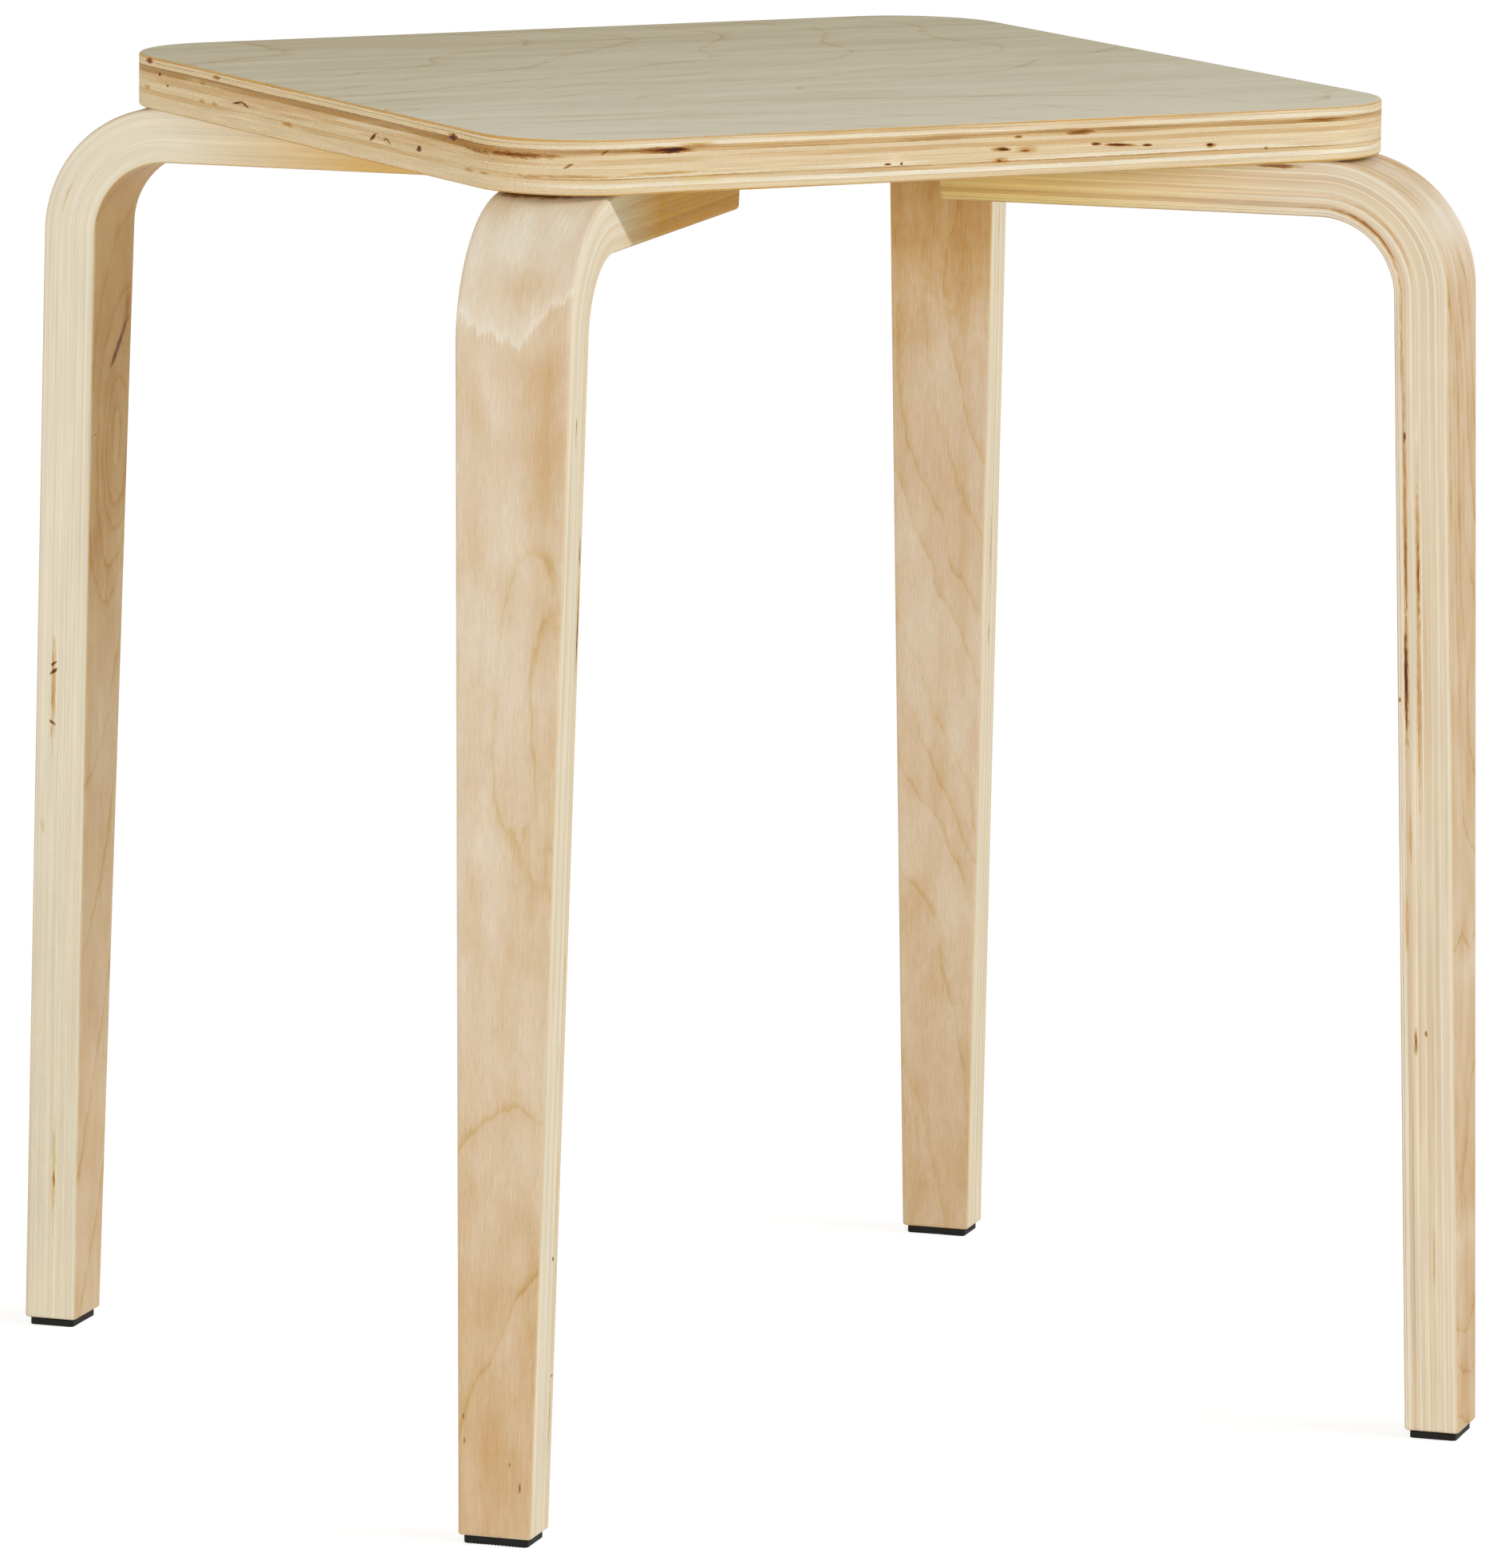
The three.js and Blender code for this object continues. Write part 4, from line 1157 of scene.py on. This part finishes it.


# Lacquered birch plywood: peeled veneers, sanded and given a thin satin lacquer. The top shows
# wide soft rings and long grey-beige streaks, darkened partly by painted shade, and the edge shows
# the plies, every other one end grain, with small dark knots and pith flecks.
def seat_birch_material():
    material, tree = start_material("lacquered_birch_plywood")
    place = object_place(tree)
    _, y, z = add(tree, "SeparateXYZ", (place,)).outputs
    figure = add(tree, "Attribute", attribute_name="figure").outputs["Vector"]
    count, spacing, cross = add(tree, "SeparateXYZ", (figure,)).outputs

    depth, figured = ply_place(tree, place, z, STOOL_HEIGHT, SEAT_UNDERSIDE, "seat", 1)
    plies_along = ply_colours(tree, depth, figured, SEAT_PLIES_ALONG)
    plies_across = ply_colours(tree, depth, figured, SEAT_PLIES_ACROSS)
    plies = add(tree, "Mix", (cross, plies_along, plies_across), data_type="RGBA")
    lines = streaks(tree, place, "seat_ply_lines", 4)
    pores = streaks(tree, place, "seat_pores", 5, 1.0)
    pore_amount = add(tree, "MapRange", {"Value": cross, "To Min": 0.06, "To Max": 0.2})
    level = weighted(tree, 1.0, (lines, 0.16), (pores, pore_amount))
    edge = add(tree, "VectorMath", (plies, level), operation="SCALE")
    edge = marked(tree, place, edge, SEAT_FRONT_MARKS, 1, -SEAT_SIDE / 2, FRONT_MARK_DEPTH)
    edge = marked(tree, place, edge, SEAT_LEFT_MARKS, 0, -SEAT_SIDE / 2, LEFT_MARK_DEPTH)
    far_side = add(tree, "VectorMath", (place, (1, 1, 0)), operation="DOT_PRODUCT")
    far_side = add(tree, "Math", (far_side, 0.0), operation="GREATER_THAN")
    flecks = streaks(tree, place, "pith_flecks", 6)
    flecks = add(tree, "MapRange", (flecks, 0.55, 0.72))
    flecks = add(tree, "Math", (flecks, far_side), operation="MULTIPLY")
    edge = add(tree, "Mix", (flecks, edge, linear(EDGE_FLECK_TONE)), data_type="RGBA")

    under = add(tree, "Math", (z, SEAT_UNDERSIDE + 1), operation="LESS_THAN")
    under_wave = streaks(tree, place, "underside_waves", 7)
    under_count = add(tree, "Math", (y, 1 / UNDERSIDE_RING_PITCH), operation="MULTIPLY")
    under_count = weighted(tree, under_count, (under_wave, UNDERSIDE_RING_WANDER))
    count = add(tree, "Mix", (under, count, under_count))
    spacing = add(tree, "Mix", (under, spacing, UNDERSIDE_RING_SPACING))
    greying = add(tree, "VectorMath", (place, (0, SEAT_GREYING, 0)), operation="DOT_PRODUCT").outputs["Value"]
    face, fibres = veneer(tree, place, count, spacing, greying, SEAT_FACE_TONES_WITH_SHADE, "seat",
                          RING_LINE_SHARES["seat"], NO_RING, 40)
    warm = add(tree, "VectorMath", (face, UNDERSIDE_TINT), operation="MULTIPLY")
    face = add(tree, "Mix", (under, face, warm), data_type="RGBA")
    # Painted glints: pale specks of light over the face
    painted_glints = streaks(tree, place, "seat_painted_glints", 8, 0.0)
    painted_glints = add(tree, "MapRange", (painted_glints, 0.7, 0.85))
    face = add(tree, "Mix", (painted_glints, face, linear(FACE_GLINT_TONE)), data_type="RGBA")
    on_top = add(tree, "MapRange", (z, STOOL_HEIGHT - 0.3, STOOL_HEIGHT - 0.05))
    on_underside = add(tree, "MapRange", (z, SEAT_UNDERSIDE + 0.3, SEAT_UNDERSIDE + 0.05))
    on_face = add(tree, "Math", (on_top, on_underside), operation="MAXIMUM")
    colour = add(tree, "Mix", (on_face, edge, face), data_type="RGBA")
    finish(tree, colour, fibres, (0.5, 0.62), fibres, 0.5, 0.06, Specular_IOR_Level=0.2)
    return material


# Lacquered bent birch: thin veneers glued in a hot mould and cut to width, with the same satin
# lacquer. The faces are peeled veneer from whitish to tan, with soft rings along the leg, and the
# sides show the plies as pale stripes that follow the bend.
def leg_birch_material(corner):
    material, tree = start_material(f"lacquered_bent_birch_{corner}")
    seed = 50 + 10 * list(CORNER_ANGLES).index(corner)
    grain = add(tree, "Attribute", attribute_name="grain").outputs["Vector"]
    along, _, through = add(tree, "SeparateXYZ", (grain,)).outputs
    figure = add(tree, "Attribute", attribute_name="figure").outputs["Vector"]
    count, spacing, tone = add(tree, "SeparateXYZ", (figure,)).outputs

    half = LEG_THICKNESS / 2
    depth, figured = ply_place(tree, grain, through, half, -half, "leg", seed)
    plies = ply_colours(tree, depth, figured, LEG_PLIES[corner])
    even_share, even_tone = EVEN_PLY_SHARES[corner]
    plies = add(tree, "Mix", (even_share, plies, linear(even_tone)), data_type="RGBA")
    lines = streaks(tree, grain, "leg_ply_lines", seed + 3)
    clouds = streaks(tree, grain, "leg_side_clouds", seed + 20)
    level = weighted(tree, 1.0, (lines, 0.14), (clouds, 0.06))
    side = add(tree, "VectorMath", (plies, level), operation="SCALE")
    facing, marks = LEG_SIDE_MARKS[corner]
    side = marked(tree, grain, side, marks, 1, facing * SIDE_MARK_OFFSET, SIDE_MARK_DEPTH)
    pores = streaks(tree, grain, "leg_pores", seed + 4, 1.0)
    pores = weighted(tree, 0.86, (pores, 0.3))
    end = add(tree, "VectorMath", (plies, pores), operation="SCALE")
    at_arm_end = add(tree, "MapRange", (along, 0.6, 0.2))
    at_foot = add(tree, "MapRange", (along, LEG_LENGTH - 0.6, LEG_LENGTH - 0.2))
    at_end = add(tree, "Math", (at_arm_end, at_foot), operation="MAXIMUM")

    line_share = add(tree, "MapRange", (tone, -0.4, 0.0, 0.15, RING_LINE_SHARES[corner]))
    face, fibres = veneer(tree, grain, count, spacing, tone, LEG_FACE_TONES, "leg", line_share,
                          PALE_RINGS.get(corner, NO_RING), seed + 5)
    facing, marks = LEG_FACE_MARKS_AND_PAINTED_LIGHT.get(corner, (1, []))
    face = marked(tree, grain, face, marks, 2, facing * half, FACE_MARK_DEPTH)
    off_middle = add(tree, "Math", (through,), operation="ABSOLUTE")
    on_face = add(tree, "MapRange", (off_middle, half - 0.7, half - 0.3))
    colour = add(tree, "Mix", (on_face, side, face), data_type="RGBA")
    colour = add(tree, "Mix", (at_end, colour, end), data_type="RGBA")
    # Painted warm shade under the seat, multiplied into the wood towards the end of the arm
    tint, shade_full_along = ARM_PAINTED_SHADE_TINTS[corner]
    near_end = add(tree, "MapRange", (along, ARM_PAINTED_SHADE_START, shade_full_along))
    off_face = weighted(tree, 1.0, (on_face, ARM_PAINTED_SHADE_FACE_SHARE - 1))
    near_end = add(tree, "Math", (near_end, off_face), operation="MULTIPLY")
    colour = add(tree, "Mix", (near_end, colour, linear(tint)), data_type="RGBA", blend_type="MULTIPLY")
    finish(tree, colour, fibres, (0.42, 0.55), fibres, 0.5, 0.06, Specular_IOR_Level=0.2)
    return material


# Moulded black rubber: soft-touch and matt, with a fine sandy skin from its mould and a little
# grey dust in it.
def rubber_material():
    material, tree = start_material("moulded_black_rubber")
    place = object_place(tree)
    dust = streaks(tree, place, "rubber_dust", 90)
    skin = streaks(tree, place, "rubber_skin", 91)
    share = weighted(tree, dust, (skin, 0.5))
    share = add(tree, "MapRange", (share, -0.6, 0.8))
    colour = add(tree, "Mix", (share, linear("#0d0b05"), linear("#1d190f")), data_type="RGBA")
    finish(tree, colour, dust, (0.6, 0.78), skin, 0.6, 0.1, IOR=1.52, Specular_IOR_Level=0.2)
    return material


# Zinc-plated steel: a bright bluish grey, slightly cloudy from the bath, with fine grit in its
# shine from the barrel it was tumbled in.
def zinc_material(name, pale, dark):
    material, tree = start_material(name)
    place = object_place(tree)
    clouds = streaks(tree, place, "zinc_clouds", 95)
    grit = streaks(tree, place, "zinc_grit", 96)
    share = add(tree, "MapRange", (clouds, -0.5, 0.5))
    colour = add(tree, "Mix", (share, linear(pale), linear(dark)), data_type="RGBA")
    finish(tree, colour, grit, (0.26, 0.42), grit, 0.4, 0.03, Metallic=1.0)
    return material


seat_birch = seat_birch_material()
rubber = rubber_material()
zinc = zinc_material("zinc_plated_steel", "#c9ccce", "#b3b6b8")
insert_zinc = zinc_material("yellow_zinc_plated_steel", "#cdbf94", "#b5a273")

points, faces, figure = seat_shape()
make_piece("seat_panel_birch", points, faces, seat_birch, "seat_panel", {"figure": figure})
leg_points, leg_faces, leg_grain = leg_shape()
pad_points, pad_faces = pad_shape()
pad_reach = BEND_END_REACH + (BEND_END_HEIGHT - FOOT_HEIGHT) * math.tan(LEG_SPLAY)
fasteners = {"bolt": bolt_shape(), "washer": washer_shape()}
for corner, angle in CORNER_ANGLES.items():
    figure = leg_figure(leg_grain, LEG_FACES[corner])
    make_piece(f"leg_{corner}_birch", turned(leg_points, angle), leg_faces, leg_birch_material(corner),
               f"leg_{corner}", {"grain": leg_grain, "figure": figure})
    make_piece(f"foot_pad_{corner}_ribbed", turned(pad_points + [pad_reach, 0, 0], angle), pad_faces, rubber,
               f"foot_pad_{corner}")
    for row, reach in BOLT_REACHES.items():
        for kind, (points, faces) in fasteners.items():
            node = f"{kind}_{corner}_{row}"
            make_piece(f"{node}_zinc", turned(points + [reach, 0, 0], angle), faces, zinc, node)
        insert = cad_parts[f"insert_{corner}_{row}"]
        insert.data.materials.clear()
        insert.data.materials.append(insert_zinc)

# Camera, floor and light

# The photo's camera as fitted to the photo, in millimetres. It aims at a point this high over the
# origin and this far aside of it.
VIEW_YAW = math.radians(27.5755)
VIEW_PITCH = math.radians(9.8346)
VIEW_ROLL = math.radians(0.6183)
VIEW_DISTANCE = 3517.93
VIEW_ASIDE = 1.7757
VIEW_AIM_HEIGHT = 206.81
FOCAL_PIXELS = 12909.65
PHOTO_HEIGHT_PIXELS = 1965
SENSOR = 36


def photo_camera():
    """The photograph's camera: it looks from the front left, a little down, through a long lens."""
    forward = Vector((math.sin(VIEW_YAW) * math.cos(VIEW_PITCH), math.cos(VIEW_YAW) * math.cos(VIEW_PITCH),
                      -math.sin(VIEW_PITCH)))
    level = Vector((math.cos(VIEW_YAW), -math.sin(VIEW_YAW), 0))
    upright = level.cross(forward)
    right = level * math.cos(VIEW_ROLL) + upright * math.sin(VIEW_ROLL)
    up = upright * math.cos(VIEW_ROLL) - level * math.sin(VIEW_ROLL)
    place = (level * VIEW_ASIDE + Vector((0, 0, VIEW_AIM_HEIGHT)) - forward * VIEW_DISTANCE) * MM
    lens = bpy.data.cameras.new("photo_camera")
    lens.sensor_fit = "AUTO"
    lens.sensor_width = SENSOR
    lens.lens = FOCAL_PIXELS * SENSOR / PHOTO_HEIGHT_PIXELS
    lens.clip_end = 100
    camera = bpy.data.objects.new("photo_camera", lens)
    camera.matrix_world = Matrix(((right.x, up.x, -forward.x, place.x), (right.y, up.y, -forward.y, place.y),
                                  (right.z, up.z, -forward.z, place.z), (0, 0, 0, 1)))
    bpy.context.scene.collection.objects.link(camera)
    bpy.context.scene.camera = camera


photo_camera()

# Lights: an even, slightly warm room, a long strip light high on the right, whose shadow of the
# seat's front edge is sharp on the front leg's arm, and a broad low softbox on the left. Each lamp
# as level on a surface that faces it, direction, and width and height in metres
ROOM_LEVEL = 0.44
ROOM_TINT = (1.0, 0.96, 0.80, 1)
LAMP_TINT = (0.96, 1.03, 1.28)
LAMP_DISTANCE = 30
LAMPS = {
    "strip_light": (0.50, (1.4, -1.0, 1), 26, 1.2),
    "softbox": (0.49, (-0.8, -0.62, 0.09), 26, 5),
}

# The floor that the camera sees glows white, over a grey that takes the shadow. To the stool it is
# a plain tinted floor. It reaches this many metres each way.
SEEN_FLOOR_GLOW = 0.84
SEEN_FLOOR_GREY = (0.3, 0.3, 0.3, 1)
FLOOR_TINT = (0.84, 0.76, 0.60, 1)
FLOOR_REACH = 60


def seen_plainly(tree):
    """1 where the camera looks straight, in a gloss or through glass, and 0 elsewhere."""
    rays = add(tree, "LightPath").outputs
    seen = add(tree, "Math", (rays["Is Camera Ray"], rays["Is Glossy Ray"]), operation="MAXIMUM")
    return add(tree, "Math", (seen, rays["Is Transmission Ray"]), operation="MAXIMUM")


scene = bpy.context.scene
scene.view_settings.view_transform = "Standard"

scene.world = bpy.data.worlds.new("white_studio")
scene.world.use_nodes = True
tree = scene.world.node_tree
tree.nodes.clear()
seen = seen_plainly(tree)
level = add(tree, "MapRange", {"Value": seen, "To Min": ROOM_LEVEL, "To Max": 1.0})
tint = add(tree, "Mix", (seen, ROOM_TINT, (1, 1, 1, 1)), data_type="RGBA")
add(tree, "OutputWorld", {"Surface": add(tree, "Background", (tint, level))})

for lamp_name, (lamp_level, direction, width, height) in LAMPS.items():
    panel = bpy.data.lights.new(lamp_name, "AREA")
    panel.shape = "RECTANGLE"
    panel.size, panel.size_y = width, height
    panel.color = LAMP_TINT
    panel.energy = lamp_level * (math.pi * LAMP_DISTANCE) ** 2
    towards = Vector(direction).normalized()
    sideways = (Vector((1, 0, 0)) - towards * towards.x).normalized()
    upwards = towards.cross(sideways)
    place = towards * LAMP_DISTANCE + Vector((0, 0, VIEW_AIM_HEIGHT * MM))
    lamp = bpy.data.objects.new(lamp_name, panel)
    lamp.matrix_world = Matrix((sideways, upwards, towards)).transposed().to_4x4()
    lamp.location = place
    lamp.visible_camera = False
    scene.collection.objects.link(lamp)

floor_mesh = bpy.data.meshes.new("floor")
corners = [(-1, -1), (1, -1), (1, 1), (-1, 1)]
floor_mesh.from_pydata([(x * FLOOR_REACH, y * FLOOR_REACH, 0) for x, y in corners], [], [(0, 1, 2, 3)])
floor = bpy.data.objects.new("floor", floor_mesh)
scene.collection.objects.link(floor)
floor_white, tree = start_material("white_studio_floor")
matt = add(tree, "BsdfDiffuse", (FLOOR_TINT,))
seen_matt = add(tree, "BsdfDiffuse", (SEEN_FLOOR_GREY,))
glow = add(tree, "Emission", ((1, 1, 1, 1), SEEN_FLOOR_GLOW))
bright = add(tree, "AddShader", (seen_matt, glow))
mixed = add(tree, "MixShader", (seen_plainly(tree), matt, bright))
from_below = add(tree, "NewGeometry").outputs["Backfacing"]
mixed = add(tree, "MixShader", (from_below, mixed, add(tree, "BsdfTransparent")))
add(tree, "OutputMaterial", {"Surface": mixed})
floor_mesh.materials.append(floor_white)
